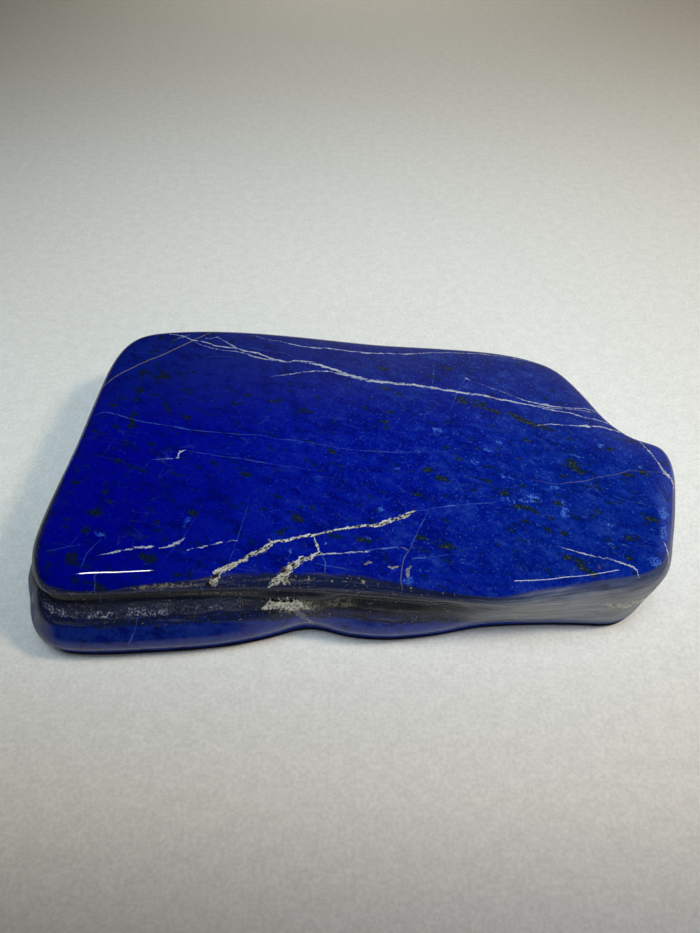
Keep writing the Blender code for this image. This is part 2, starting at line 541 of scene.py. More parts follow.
PITTED_VEINS = (
    Vein("front vein", Filling.PITTED, (
        (-46.6, -59.5, 1.5), (-45.9, -58.4, 1.5), (-44.4, -56.3, 1.45), (-43.2, -55.0, 1.2),
        (-40.7, -53.4, 0.95), (-37.8, -51.6, 0.85), (-36.2, -50.5, 0.85), (-34.2, -49.1, 1.0),
        (-31.9, -48.0, 1.05), (-29.7, -46.4, 1.05), (-28.5, -44.5, 1.25), (-27.0, -43.9, 0.65),
        (-23.1, -43.3, 0.5), (-20.3, -42.5, 0.45), (-17.8, -41.6, 0.6), (-14.0, -41.3, 0.45),
        (-11.7, -40.5, 0.4), (-7.6, -39.3, 0.4), (-3.4, -38.5, 0.45), (0.8, -37.6, 0.45),
        (2.7, -37.4, 0.5), (4.6, -37.6, 0.6), (7.4, -36.8, 1.0), (9.8, -35.5, 0.95),
        (11.3, -35.0, 0.75), (12.9, -34.6, 0.7), (14.6, -33.6, 1.05), (16.3, -32.8, 1.0),
        (17.7, -31.8, 0.5), (19.1, -31.0, 0.15))),
    Vein("front branch", Filling.PITTED, (
        (-29.2, -59.5, 0.4), (-27.8, -58.4, 0.7), (-26.3, -57.5, 1.0), (-23.9, -56.1, 1.5),
        (-22.5, -54.8, 1.6), (-20.7, -52.9, 1.2), (-19.0, -51.6, 1.0), (-17.4, -50.5, 0.85),
        (-15.5, -50.1, 0.85), (-14.0, -49.1, 0.55), (-12.1, -48.5, 0.5))),
    Vein("front branch's foot", Filling.PITTED, (
        (-23.6, -55.9, 1.2), (-22.8, -57.5, 1.2), (-22.4, -58.8, 0.9), (-23.0, -60.4, 0.4))),
    Vein("connector", Filling.PITTED, (
        (-14.7, -41.9, 0.2), (-14.1, -43.3, 0.2), (-13.5, -45.0, 0.5), (-13.1, -46.4, 0.25),
        (-12.6, -48.3, 0.35)), strength=0.85),
    Vein("tan mark", Filling.PITTED, (
        (1.3, -52.5, 0.2), (2.1, -52.4, 0.6), (3.1, -51.9, 0.6), (4.0, -52.0, 0.3)), strength=0.5),
    Vein("hooked mark", Filling.PITTED, (
        (9.1, -53.5, 0.4), (10.5, -53.8, 0.6), (11.7, -53.5, 0.3), (13.0, -53.1, 0.25)), strength=0.6),
    Vein("hooked mark's end", Filling.PITTED, (
        (16.0, -53.4, 0.3), (15.3, -54.4, 0.7), (14.9, -55.9, 0.7), (15.0, -57.3, 0.3)), strength=0.5),
    Vein("wall patch", Filling.PITTED, (
        (-31.0, 18.6, 0.3), (-29.0, 19.0, 1.2), (-26.0, 19.4, 1.7), (-23.0, 19.4, 1.9),
        (-20.0, 19.0, 1.7), (-17.5, 18.2, 0.9), (-15.5, 17.6, 0.2)), Facing.FRONT, strength=0.75),
    Vein("wall patch's tail", Filling.PITTED, (
        (-20.4, 18.0, 1.3), (-18.8, 15.6, 1.4), (-17.2, 13.0, 1.0), (-15.8, 10.6, 0.7),
        (-14.6, 8.2, 0.3)),
        Facing.FRONT, strength=0.45),
    Vein("right wall's crust", Filling.PITTED, (
        (76.0, 19.9, 0.1), (79.0, 19.6, 0.9), (82.0, 18.6, 1.2), (85.5, 17.6, 1.4), (88.5, 17.4, 1.7),
        (91.5, 17.4, 1.6), (94.0, 17.2, 0.9)), Facing.FRONT),
)

TAN_VEINS = (
    Vein("tan vein", Filling.TAN, (
        (-102.7, 30.3, 0.15), (-100.7, 31.7, 0.18), (-98.0, 34.9, 0.18), (-94.8, 38.4, 0.18),
        (-90.8, 42.1, 0.18), (-86.3, 45.9, 0.18), (-81.6, 49.1, 0.18), (-77.2, 52.6, 0.2),
        (-72.9, 56.3, 0.2), (-68.4, 60.0, 0.2), (-65.5, 62.7, 0.18), (-61.6, 65.6, 0.14))),
    Vein("beige thin vein", Filling.TAN, (
        (59.4, -17.5, 0.04), (61.4, -17.8, 0.08), (66.7, -19.2, 0.1), (69.3, -19.6, 0.08),
        (72.3, -18.9, 0.12), (77.9, -18.3, 0.12), (83.9, -16.4, 0.12), (89.7, -15.2, 0.12),
        (95.0, -13.6, 0.12), (99.2, -13.9, 0.08), (106.8, -14.1, 0.08)), strength=0.7),
    Vein("crossing vein", Filling.TAN, (
        (16.2, -46.4, 0.06), (15.7, -47.5, 0.10), (14.4, -49.9, 0.14), (13.3, -53.7, 0.15),
        (13.0, -56.3, 0.15), (13.2, -60.5, 0.1)), strength=0.8),
    Vein("crossing vein's hook", Filling.TAN, (
        (13.5, -46.2, 0.15), (14.5, -46.4, 0.3), (15.5, -47.4, 0.2)), strength=0.7),
)

FAINT_VEINS = (
    Vein("crossing vein's upper half", Filling.FAINT, (
        (24.0, -28.0, 0.05), (22.7, -32.3, 0.15), (20.5, -37.0, 0.15), (18.3, -42.1, 0.18),
        (16.7, -45.6, 0.18), (15.7, -47.5, 0.1)), strength=0.9),
    Vein("left corner hairline", Filling.FAINT, (
        (-86.8, -54.4, 0.05), (-86.6, -52.9, 0.15), (-86.1, -48.8, 0.18), (-84.9, -45.9, 0.15),
        (-83.3, -43.3, 0.1)), strength=0.35),
    Vein("second diagonal", Filling.FAINT, (
        (43.1, 35.7, 0.15), (39.1, 27.5, 0.15), (37.1, 22.3, 0.12), (35.0, 16.8, 0.08)), strength=0.8),
    Vein("first diagonal", Filling.FAINT, (
        (31.5, 44.4, 0.1), (30.8, 40.0, 0.15), (30.0, 34.5, 0.2), (29.2, 30.4, 0.15)), strength=0.8),
    Vein("front vein's far half", Filling.FAINT, (
        (18.7, -31.2, 0.2), (20.4, -31.2, 0.12), (26.1, -30.0, 0.15), (29.2, -29.6, 0.2),
        (31.6, -29.2, 0.35), (32.9, -29.1, 0.15), (37.4, -28.5, 0.12), (43.0, -28.0, 0.15),
        (46.6, -27.6, 0.08)), strength=1.0),
    Vein("branch's blue end", Filling.FAINT, (
        (2.2, -47.8, 0.4), (3.8, -47.2, 0.4), (5.4, -46.9, 0.25), (7.1, -46.7, 0.38),
        (9.5, -46.4, 0.3), (12.1, -46.2, 0.2)), strength=1.2),
    Vein("back parallel", Filling.FAINT, (
        (-44.8, 54.7, 0.1), (-41.9, 54.3, 0.15), (-35.9, 52.4, 0.12), (-29.7, 51.4, 0.15),
        (-26.2, 48.8, 0.12), (-23.3, 47.5, 0.08)), strength=0.6),
    Vein("back left light line", Filling.FAINT, (
        (-62.7, 48.8, 0.05), (-59.4, 49.1, 0.12), (-56.2, 49.1, 0.18), (-50.4, 49.1, 0.08)),
        strength=0.6),
    Vein("branch hairline", Filling.FAINT, (
        (-16.1, -51.7, 0.05), (-14.8, -51.9, 0.12), (-9.1, -53.2, 0.15), (-3.8, -54.2, 0.15),
        (1.1, -55.0, 0.08)), strength=0.6),
    Vein("connector's foot", Filling.FAINT, (
        (-12.2, -48.8, 0.15), (-11.2, -50.3, 0.18), (-10.6, -52.2, 0.2), (-10.6, -55.3, 0.08)),
        strength=0.9),
    Vein("short dash", Filling.FAINT, (
        (16.6, -50.6, 0.1), (17.9, -50.4, 0.3), (20.4, -50.3, 0.25), (23.6, -49.7, 0.15),
        (29.3, -48.9, 0.1), (31.9, -48.6, 0.05)), strength=0.8),
    Vein("left thin vein", Filling.FAINT, (
        (-100.9, 14.7, 0.05), (-98.8, 15.3, 0.15), (-95.2, 16.2, 0.18), (-91.2, 15.1, 0.18),
        (-85.4, 12.7, 0.16), (-77.4, 10.3, 0.15), (-69.7, 8.7, 0.15), (-64.3, 7.4, 0.2),
        (-58.2, 6.1, 0.12), (-53.0, 5.6, 0.1)), strength=0.8),
    Vein("left vein's far half", Filling.FAINT, (
        (-53.0, 5.6, 0.1), (-46.0, 4.6, 0.15), (-35.9, 4.0, 0.15), (-29.2, 2.0, 0.2), (-21.8, 1.0, 0.25),
        (-16.3, -0.1, 0.15),
        (-4.0, -3.1, 0.1), (4.3, -4.0, 0.15), (10.4, -4.5, 0.2), (16.8, -4.5, 0.15), (27.9, -4.5, 0.05)),
        strength=0.55),
    Vein("jagged vein's trace", Filling.FAINT, (
        (-61.0, -4.0, 0.1), (-59.2, -4.5, 0.15), (-50.7, -6.2, 0.15), (-41.3, -7.9, 0.2),
        (-34.7, -9.4, 0.25),
        (-28.3, -10.8, 0.15), (-22.0, -12.0, 0.1), (-12.0, -13.6, 0.05)), strength=0.5),
    Vein("left edge hairline", Filling.FAINT, (
        (-99.5, -47.6, 0.1), (-95.5, -46.6, 0.15), (-91.0, -45.4, 0.12), (-87.6, -44.6, 0.05)),
        strength=0.5),
    Vein("left fan hairline", Filling.FAINT, (
        (-53.4, -32.0, 0.05), (-55.0, -37.6, 0.12), (-56.6, -42.0, 0.12), (-59.4, -47.0, 0.1),
        (-61.5, -52.0, 0.05)), strength=0.35),
    Vein("middle fan hairline", Filling.FAINT, (
        (-37.0, -24.0, 0.05), (-37.6, -32.0, 0.12), (-39.0, -42.0, 0.15), (-40.6, -51.0, 0.15),
        (-41.0, -54.0, 0.05)), strength=0.4),
    Vein("back left hairline", Filling.FAINT, (
        (-96.0, 53.0, 0.05), (-95.0, 52.7, 0.15), (-90.0, 52.1, 0.15), (-84.0, 51.4, 0.12),
        (-80.0, 50.6, 0.05)), strength=0.4),
    Vein("first right hairline", Filling.FAINT, (
        (103.4, -16.0, 0.05), (105.0, -20.0, 0.12), (106.0, -26.0, 0.15), (105.6, -33.0, 0.12),
        (104.0, -38.0, 0.05)), strength=0.5),
    Vein("second right hairline", Filling.FAINT, (
        (100.4, -15.0, 0.05), (102.6, -20.0, 0.12), (103.4, -27.0, 0.15), (102.4, -35.0, 0.15),
        (101.0, -41.0, 0.05)), strength=0.5),
    Vein("right middle hairline", Filling.FAINT, (
        (86.0, -24.6, 0.05), (89.0, -26.4, 0.15), (93.0, -27.6, 0.12), (98.0, -29.4, 0.15),
        (101.0, -31.0, 0.1)), strength=0.7),
    Vein("first front hairline", Filling.FAINT, (
        (-81.6, 32.0, 0.2), (-81.8, 29.0, 0.2), (-82.1, 21.8, 0.2), (-82.2, 20.8, 0.1)),
        Facing.FRONT, strength=0.8),
    Vein("lobe crack", Filling.FAINT, (
        (-70.0, 18.4, 0.1), (-70.3, 17.4, 0.2), (-71.0, 15.2, 0.22), (-73.5, 11.0, 0.18),
        (-74.0, 10.0, 0.1)),
        Facing.FRONT, strength=0.8),
    Vein("front vein's foot", Filling.FAINT, (
        (-49.0, 28.0, 0.3), (-48.6, 26.6, 0.25), (-46.0, 25.4, 0.2), (-42.5, 24.6, 0.15),
        (-41.0, 24.4, 0.05)),
        Facing.FRONT, strength=0.8),
    Vein("right lip hairline", Filling.FAINT, (
        (62.0, 27.2, 0.1), (63.9, 27.4, 0.15), (70.0, 28.2, 0.15), (78.4, 29.2, 0.2), (84.0, 29.8, 0.2),
        (86.0, 30.2, 0.1)), Facing.FRONT, strength=0.3),
    Vein("right wall's lower line", Filling.FAINT, (
        (46.0, 9.0, 0.1), (50.0, 10.0, 0.25), (57.0, 11.4, 0.3), (64.0, 13.2, 0.25), (72.0, 14.6, 0.25),
        (78.0, 16.0, 0.1)), Facing.FRONT, strength=0.3),
)

VEINS = CALCITE_VEINS + PITTED_VEINS + TAN_VEINS + FAINT_VEINS
"""Every vein that is drawn, traced one by one from left to right."""

FLECK_PLACES = (
    (12.0, 10.0, 5.4, 1.7, 1.5), (11.5, 16.2, 2.6, 1.1, 1.3), (-9.7, -4.5, 2.2, 1.4, 1.2),
    (-3.8, -19.2, 2.4, 1.6, 1.0), (-5.3, -27.6, 3.0, 1.9, 1.3), (4.9, -25.6, 3.2, 1.5, 1.3),
    (19.2, -24.1, 3.4, 1.4, 1.2), (28.6, -17.3, 3.8, 1.9, 1.5), (24.1, -13.2, 2.6, 1.7, 1.2),
    (18.8, -14.1, 1.8, 1.3, 1.3), (39.5, -12.7, 3.6, 1.4, 1.2), (35.2, -7.0, 4.6, 2.4, 0.9),
    (48.2, -23.0, 5.6, 1.9, 1.4), (55.9, -30.0, 5.4, 1.8, 1.2), (55.4, -36.7, 4.6, 1.8, 1.3),
    (49.1, -39.3, 4.0, 1.6, 1.1), (66.1, -40.5, 2.6, 1.4, 1.2), (27.4, -45.5, 6.4, 2.0, 1.5),
    (-1.3, -42.1, 4.2, 2.0, 1.2), (20.0, -42.1, 3.0, 1.6, 1.0), (44.8, -44.5, 2.0, 2.0, 1.1),
    (61.2, 1.5, 4.0, 1.7, 1.1), (74.5, 2.5, 3.0, 1.4, 1.2), (56.9, -7.5, 2.8, 1.3, 1.0),
    (75.5, -11.5, 6.6, 3.8, 1.1), (71.1, -16.0, 2.4, 1.2, 1.4), (44.2, -3.1, 2.6, 1.1, 1.1),
    (49.9, 8.4, 2.6, 1.1, 1.2), (87.3, 2.5, 3.2, 1.3, 1.3), (90.4, -2.6, 2.6, 2.2, 1.1),
    (76.6, 2.0, 2.6, 1.2, 1.0), (82.1, -15.0, 4.8, 1.5, 1.4), (80.8, -20.8, 4.4, 1.6, 1.4),
    (108.5, -8.4, 2.6, 3.0, 0.9), (66.8, -28.0, 3.2, 1.6, 1.3), (80.3, -31.5, 2.8, 1.6, 1.0),
    (95.8, -34.2, 4.8, 2.4, 1.0), (89.1, -42.9, 4.8, 2.0, 1.3), (61.4, -38.9, 3.0, 1.6, 1.0),
    (85.0, -50.1, 2.0, 3.0, 0.9), (66.2, -50.8, 2.6, 2.2, 1.4), (68.1, -52.2, 3.4, 2.4, 1.5),
    (70.3, -53.8, 3.4, 2.4, 1.5), (72.1, -55.3, 2.8, 1.9, 1.3), (93.1, -15.5, 4.2, 1.4, 1.0),
    (100.2, -14.6, 3.6, 1.4, 1.1), (-97.9, 6.6, 2.8, 1.4, 1.5), (-93.4, 20.1, 2.6, 1.4, 1.4),
    (-89.9, 23.2, 3.4, 1.6, 1.5), (-76.6, 37.0, 10.0, 6.0, 0.6), (-78.7, 33.4, 2.4, 1.4, 1.0),
    (-65.8, 29.2, 2.8, 1.3, 1.0), (-63.7, 13.0, 2.0, 1.5, 1.1), (-85.2, -8.4, 1.8, 2.4, 1.0),
    (-85.6, -14.6, 2.0, 2.4, 1.1), (-86.4, -23.2, 1.9, 2.2, 1.3), (-87.4, -31.5, 3.6, 3.6, 1.1),
    (-89.4, -39.3, 2.8, 2.8, 0.9), (-90.6, -49.5, 3.4, 3.4, 1.0), (-82.5, -28.0, 3.8, 1.3, 1.6),
    (-98.6, -18.3, 3.6, 1.4, 1.5), (-72.9, -11.8, 1.4, 2.6, 1.1), (-38.7, -15.5, 2.8, 1.6, 1.3),
    (-27.5, -25.0, 2.6, 1.4, 1.3), (-20.4, -34.0, 3.4, 3.0, 1.1), (-14.9, -29.7, 2.4, 1.4, 1.2),
    (-25.3, -40.1, 1.8, 2.6, 1.1), (-54.8, -32.3, 2.4, 1.8, 1.2), (-66.9, -49.9, 4.2, 2.0, 1.4),
    (-66.5, -36.5, 1.8, 1.5, 1.1), (-33.6, 22.3, 4.4, 2.4, 0.8), (-20.4, 17.9, 4.4, 1.6, 0.9),
    (9.2, 41.9, 5.0, 1.6, 0.8), (10.4, 29.8, 3.6, 1.3, 1.2), (36.6, 41.9, 4.2, 1.5, 0.9),
    (4.4, 42.5, 3.4, 1.4, 0.8), (-57.1, -55.7, 3.2, 1.4, 1.1), (-80.7, -59.1, 3.4, 1.8, 1.3),
)
"""Dark flecks on the top: across, deep, half length, half width in millimetres, and strength."""

TRAILS = (
    Vein("golden band", Filling.FAINT, (
        (35.4, 25.2, 0.3), (37.6, 24.3, 1.3), (40.6, 22.9, 1.9), (44.6, 21.0, 2.0), (48.9, 19.0, 2.0),
        (53.2, 17.0, 1.8), (57.4, 14.9, 1.3), (61.5, 12.4, 1.0), (65.5, 9.5, 1.2), (68.9, 7.9, 1.1),
        (71.7, 6.6, 0.8), (73.7, 5.6, 0.2)), strength=1.4),
    Vein("green trail", Filling.FAINT, (
        (-83.0, 64.1, 0.9), (-83.0, 56.6, 0.9), (-84.5, 49.4, 0.9), (-86.0, 42.5, 1.0),
        (-85.4, 33.4, 1.1), (-84.9, 25.2, 1.0), (-84.6, 16.2, 1.2), (-84.2, 8.7, 1.1),
        (-84.1, 1.5, 1.2), (-84.0, -2.6, 0.3)), strength=1.1),
    Vein("second trail", Filling.FAINT, (
        (-75.2, 25.2, 0.3), (-73.1, 19.5, 0.7), (-69.7, 13.0, 0.9), (-67.1, 6.6, 0.9),
        (-65.5, 1.5, 0.8), (-64.5, -2.6, 0.2))),
)
"""Lines along which flecks are strung."""

LIGHT_PLACES = (
    (59.0, -25.9, 3.8, 2.4, 1.4), (55.7, -27.2, 2.6, 1.2, 1.1), (50.4, -26.7, 3.4, 1.6, 1.2),
    (68.6, -31.9, 2.0, 3.4, 1.2), (68.4, -27.6, 2.0, 1.8, 1.0), (41.3, -9.4, 2.8, 1.4, 1.1),
    (51.6, -16.4, 3.4, 1.0, 1.0), (46.7, -3.5, 3.0, 1.0, 0.9), (29.2, 6.6, 3.4, 1.6, 0.8),
    (78.0, -6.5, 4.0, 0.9, 1.0), (87.4, -1.6, 1.8, 2.2, 0.9), (51.5, -0.1, 2.4, 1.6, 0.9),
    (87.1, 1.5, 1.4, 1.0, 0.8), (99.4, -11.8, 2.0, 1.0, 1.1), (80.8, -45.3, 2.2, 1.6, 0.8),
    (82.5, -37.1, 2.2, 0.9, 0.9), (67.3, -21.4, 3.0, 1.4, 0.8), (2.7, -42.9, 1.0, 1.0, 1.6),
    (-10.9, -44.5, 0.9, 0.9, 1.2), (-21.7, -47.5, 0.9, 0.9, 1.2), (7.4, -30.6, 2.2, 2.0, 0.7),
    (14.9, -58.0, 2.4, 2.4, 1.0), (-83.8, -40.9, 4.0, 1.6, 0.6), (-56.4, -36.0, 2.0, 5.0, 0.5),
    (13.5, -12.2, 0.9, 0.9, 1.2), (93.6, -51.8, 3.6, 2.4, 1.0), (99.7, -39.7, 2.4, 5.0, 0.9),
    (101.5, -31.9, 2.2, 4.0, 1.0),
)
"""Light blue feathers on the top, in the same way as the flecks."""

SAND_SPOTS = (
    Spot("sand by the front vein", (-60.0, -59.0, 28.9), (16.0, 6.0, 0.9), 2.0, 0.75),
    Spot("sand by the branch", (-22.0, -59.0, 29.9), (16.0, 6.0, 0.5), 0.0, 0.35),
    Spot("sand under the lip", (-45.0, -59.0, 22.6), (22.0, 8.0, 0.7), 0.0, 0.45),
    Spot("sand round the wall patch", (-19.0, -59.5, 18.4), (9.5, 8.0, 3.0), 0.0, 0.7),
    Spot("sand right of the wall patch", (-6.0, -59.0, 19.2), (7.0, 8.0, 2.0), 0.0, 0.5),
    Spot("sand on the right wall", (86.0, -57.0, 17.8), (10.0, 8.0, 2.4), 0.0, 0.8),
    Spot("first cream dot", (-8.6, -57.5, 29.7), (0.5, 1.0, 0.4), 0.0, 1.6),
    Spot("second cream dot", (1.5, -57.9, 30.1), (0.8, 1.0, 0.45), 0.0, 1.6),
    Spot("third cream dot", (-16.0, -56.7, 30.3), (0.6, 1.2, 0.6), 0.0, 1.4),
    Spot("fourth cream dot", (-0.1, -59.4, 28.7), (0.5, 1.2, 0.5), 0.0, 1.4),
    Spot("fifth cream dot", (16.0, -60.0, 29.8), (0.6, 1.0, 0.4), 0.0, 1.4),
)
"""Pale sand in the matrix of the sides, and single cream grains on the lip."""

RUST_SPOTS = (
    Spot("rust in the branch's root", (-23.2, -54.4, 31.3), (2.2, 1.6, 3.0), 40.0, 0.8),
    Spot("rust below the branch's root", (-22.6, -57.4, 29.4), (1.2, 2.0, 1.6), 0.0, 0.7),
    Spot("rust in the front vein's root", (-46.4, -58.0, 30.0), (1.4, 2.0, 2.0), 0.0, 0.35),
    Spot("orange spot at the right", (74.8, -53.5, 31.7), (0.9, 0.9, 2.0), 0.0, 0.9),
)
"""Rusty stains on the veins, and one beside them."""

CRACK_SPOTS = (
    Spot("hole in the branch's root", (-23.6, -54.6, 31.4), (1.5, 0.9, 2.0), 20.0, 1.4),
    Spot("hole in the branch", (-20.7, -52.6, 31.8), (1.2, 0.6, 2.0), 40.0, 1.4),
    Spot("crack in the branch", (-17.9, -50.4, 32.0), (1.1, 0.5, 2.0), 40.0, 1.3),
    Spot("first crack in the front vein", (-36.4, -50.2, 32.0), (1.4, 0.45, 2.0), 42.0, 1.2),
    Spot("second crack in the front vein", (-31.9, -47.2, 32.0), (1.3, 0.45, 2.0), 40.0, 1.2),
    Spot("third crack in the front vein", (-25.8, -43.9, 32.0), (1.3, 0.4, 2.0), 10.0, 1.2),
    Spot("hole in the front vein's tip", (16.3, -32.7, 32.0), (0.9, 0.5, 2.0), 40.0, 1.3),
    Spot("hole in the front vein's root", (-44.8, -56.2, 30.8), (1.7, 0.9, 2.0), 35.0, 1.3),
    Spot("hole at the front vein's foot", (-47.0, -58.2, 29.2), (1.0, 1.4, 1.2), 35.0, 1.3),
)
# Black holes and cracks in the pitted veins; their black is partly dirt and partly painted shade.
"""Black holes and cracks in the pitted veins."""


@dataclass(frozen=True)
class LapisFinish:
    """The finish of the whole stone. Colours are linear, sizes are millimetres."""

    name: str = "lapis"
    deep_blue: Colour = (0.0002, 0.0008, 0.225)
    middle_blue: Colour = (0.0008, 0.0055, 0.258)
    right_blue: Colour = (0.0010, 0.0150, 0.245)
    back_blue: Colour = (0.0030, 0.0115, 0.152)
    lobe_blue: Colour = (0.0055, 0.0215, 0.190)
    # Painted reflection: a slate-blue haze for the left end.
    left_painted_reflection: Colour = (0.030, 0.042, 0.095)
    shade_blue: Colour = (0.0002, 0.0020, 0.110)
    cloud_blue: Colour = (0.0150, 0.0500, 0.340)
    wisp_blue: Colour = (0.030, 0.090, 0.420)
    pale_blue: Colour = (0.11, 0.22, 0.62)
    feather_blue: Colour = (0.025, 0.105, 0.560)
    sparkle_blue: Colour = (0.055, 0.125, 0.470)
    fleck_left: Colour = (0.0020, 0.0065, 0.0330)
    fleck_right: Colour = (0.0035, 0.0150, 0.0300)
    fleck_halo: Colour = (0.0010, 0.0090, 0.0800)
    fleck_gold: Colour = (0.085, 0.080, 0.022)
    calcite: Colour = (0.41, 0.44, 0.53)
    calcite_edge: Colour = (0.065, 0.095, 0.270)
    chalk: Colour = (0.62, 0.65, 0.66)
    cream: Colour = (0.50, 0.50, 0.42)
    cream_brown: Colour = (0.075, 0.060, 0.045)
    cream_grey: Colour = (0.26, 0.26, 0.22)
    vein_rim: Colour = (0.015, 0.022, 0.095)
    tan: Colour = (0.175, 0.170, 0.080)
    beige: Colour = (0.120, 0.130, 0.150)
    faint: Colour = (0.058, 0.135, 0.44)
    gold: Colour = (0.30, 0.27, 0.16)
    druse: Colour = (0.27, 0.30, 0.42)
    rust: Colour = (0.130, 0.065, 0.030)
    # Partly dirt, partly painted shade in pits, holes and cracks.
    pit_dirt_and_shade: Colour = (0.008, 0.006, 0.005)
    # Painted contact shadow along the foot.
    foot_painted_shadow: Colour = (0.006, 0.005, 0.012)
    streak_dark: Colour = (0.012, 0.015, 0.028)
    streak_pale: Colour = (0.20, 0.20, 0.19)
    corner_slate: Colour = (0.050, 0.062, 0.105)
    brushed_dark: Colour = (0.010, 0.013, 0.026)
    brushed_pale: Colour = (0.26, 0.27, 0.28)
    sand: Colour = (0.26, 0.24, 0.175)
    druse_ground: Colour = (0.006, 0.009, 0.030)
    matrix_top: Line = (
        (-112.0, 31.4), (-103.5, 31.2), (-98.0, 30.0), (-90.0, 29.0), (-80.0, 28.4), (-68.0, 29.4),
        (-50.0, 30.4), (-40.0, 30.9), (-20.0, 31.0), (0.0, 31.0), (12.0, 30.4), (24.0, 29.6),
        (40.0, 29.2),
        (58.0, 30.6), (84.0, 30.6), (96.0, 30.8), (112.0, 30.2))
    matrix_top_behind: Line = (
        (-60.0, 40.0), (-30.0, 40.0), (-14.0, 29.0), (4.0, 26.0), (26.0, 24.0), (70.0, 22.0))
    matrix_foot: Line = (
        (-112.0, 16.0), (-60.0, 15.8), (-40.0, 15.0), (-28.0, 14.2), (-10.0, 13.6), (10.0, 12.6),
        (26.0, 12.0), (40.0, 10.0), (52.0, 6.0), (70.0, 4.0), (112.0, 3.0))
    fleck_cover: Line = (
        (-110.0, 0.030), (-70.0, 0.028), (-45.0, 0.012), (-20.0, 0.004), (40.0, 0.012), (75.0, 0.020),
        (110.0, 0.024))
    # Of the left beds, the near-black one at 0.75, some 25 mm high in the crease under the lip, is
    # painted shade.
    left_beds: Beds = (
        (0.00, (0.0030, 0.0100, 0.0420)), (0.17, (0.0070, 0.0110, 0.0300)),
        (0.22, (0.0160, 0.0200, 0.0420)),
        (0.33, (0.0200, 0.0240, 0.0480)), (0.37, (0.0070, 0.0100, 0.0240)),
        (0.42, (0.0190, 0.0230, 0.0330)),
        (0.47, (0.0070, 0.0100, 0.0220)), (0.53, (0.0230, 0.0270, 0.0400)),
        (0.64, (0.0130, 0.0160, 0.0380)),
        (0.75, (0.0040, 0.0080, 0.0500)), (0.90, (0.0080, 0.0130, 0.0640)),
        (1.00, (0.0060, 0.0110, 0.0600)))
    middle_beds: Beds = (
        (0.00, (0.0025, 0.0070, 0.0330)), (0.10, (0.0040, 0.0085, 0.0180)),
        (0.22, (0.0080, 0.0110, 0.0160)),
        (0.31, (0.0200, 0.0220, 0.0240)), (0.42, (0.0310, 0.0330, 0.0350)),
        (0.54, (0.0150, 0.0190, 0.0360)),
        (0.66, (0.0090, 0.0130, 0.0370)), (0.73, (0.0300, 0.0420, 0.0850)),
        (0.78, (0.0080, 0.0140, 0.0600)),
        (0.90, (0.0080, 0.0150, 0.0660)), (1.00, (0.0060, 0.0120, 0.0640)))
    right_beds: Beds = (
        (0.00, (0.0700, 0.0900, 0.2200)), (0.12, (0.1100, 0.1300, 0.2200)),
        (0.26, (0.1450, 0.1620, 0.1950)),
        (0.45, (0.1750, 0.1850, 0.1900)), (0.62, (0.1600, 0.1750, 0.1900)),
        (0.78, (0.1950, 0.2150, 0.2400)),
        (0.90, (0.1600, 0.1850, 0.2400)), (1.00, (0.0350, 0.0520, 0.1600)))

    def material(self) -> bpy.types.Material:
        """Build the material.

        Returns:
            The stone's material.
        """
        material = bpy.data.materials.new(self.name)
        material.use_nodes = True
        tree = material.node_tree
        tree.nodes.clear()
        return LapisPainter(self, material, Bench(tree)).paint()


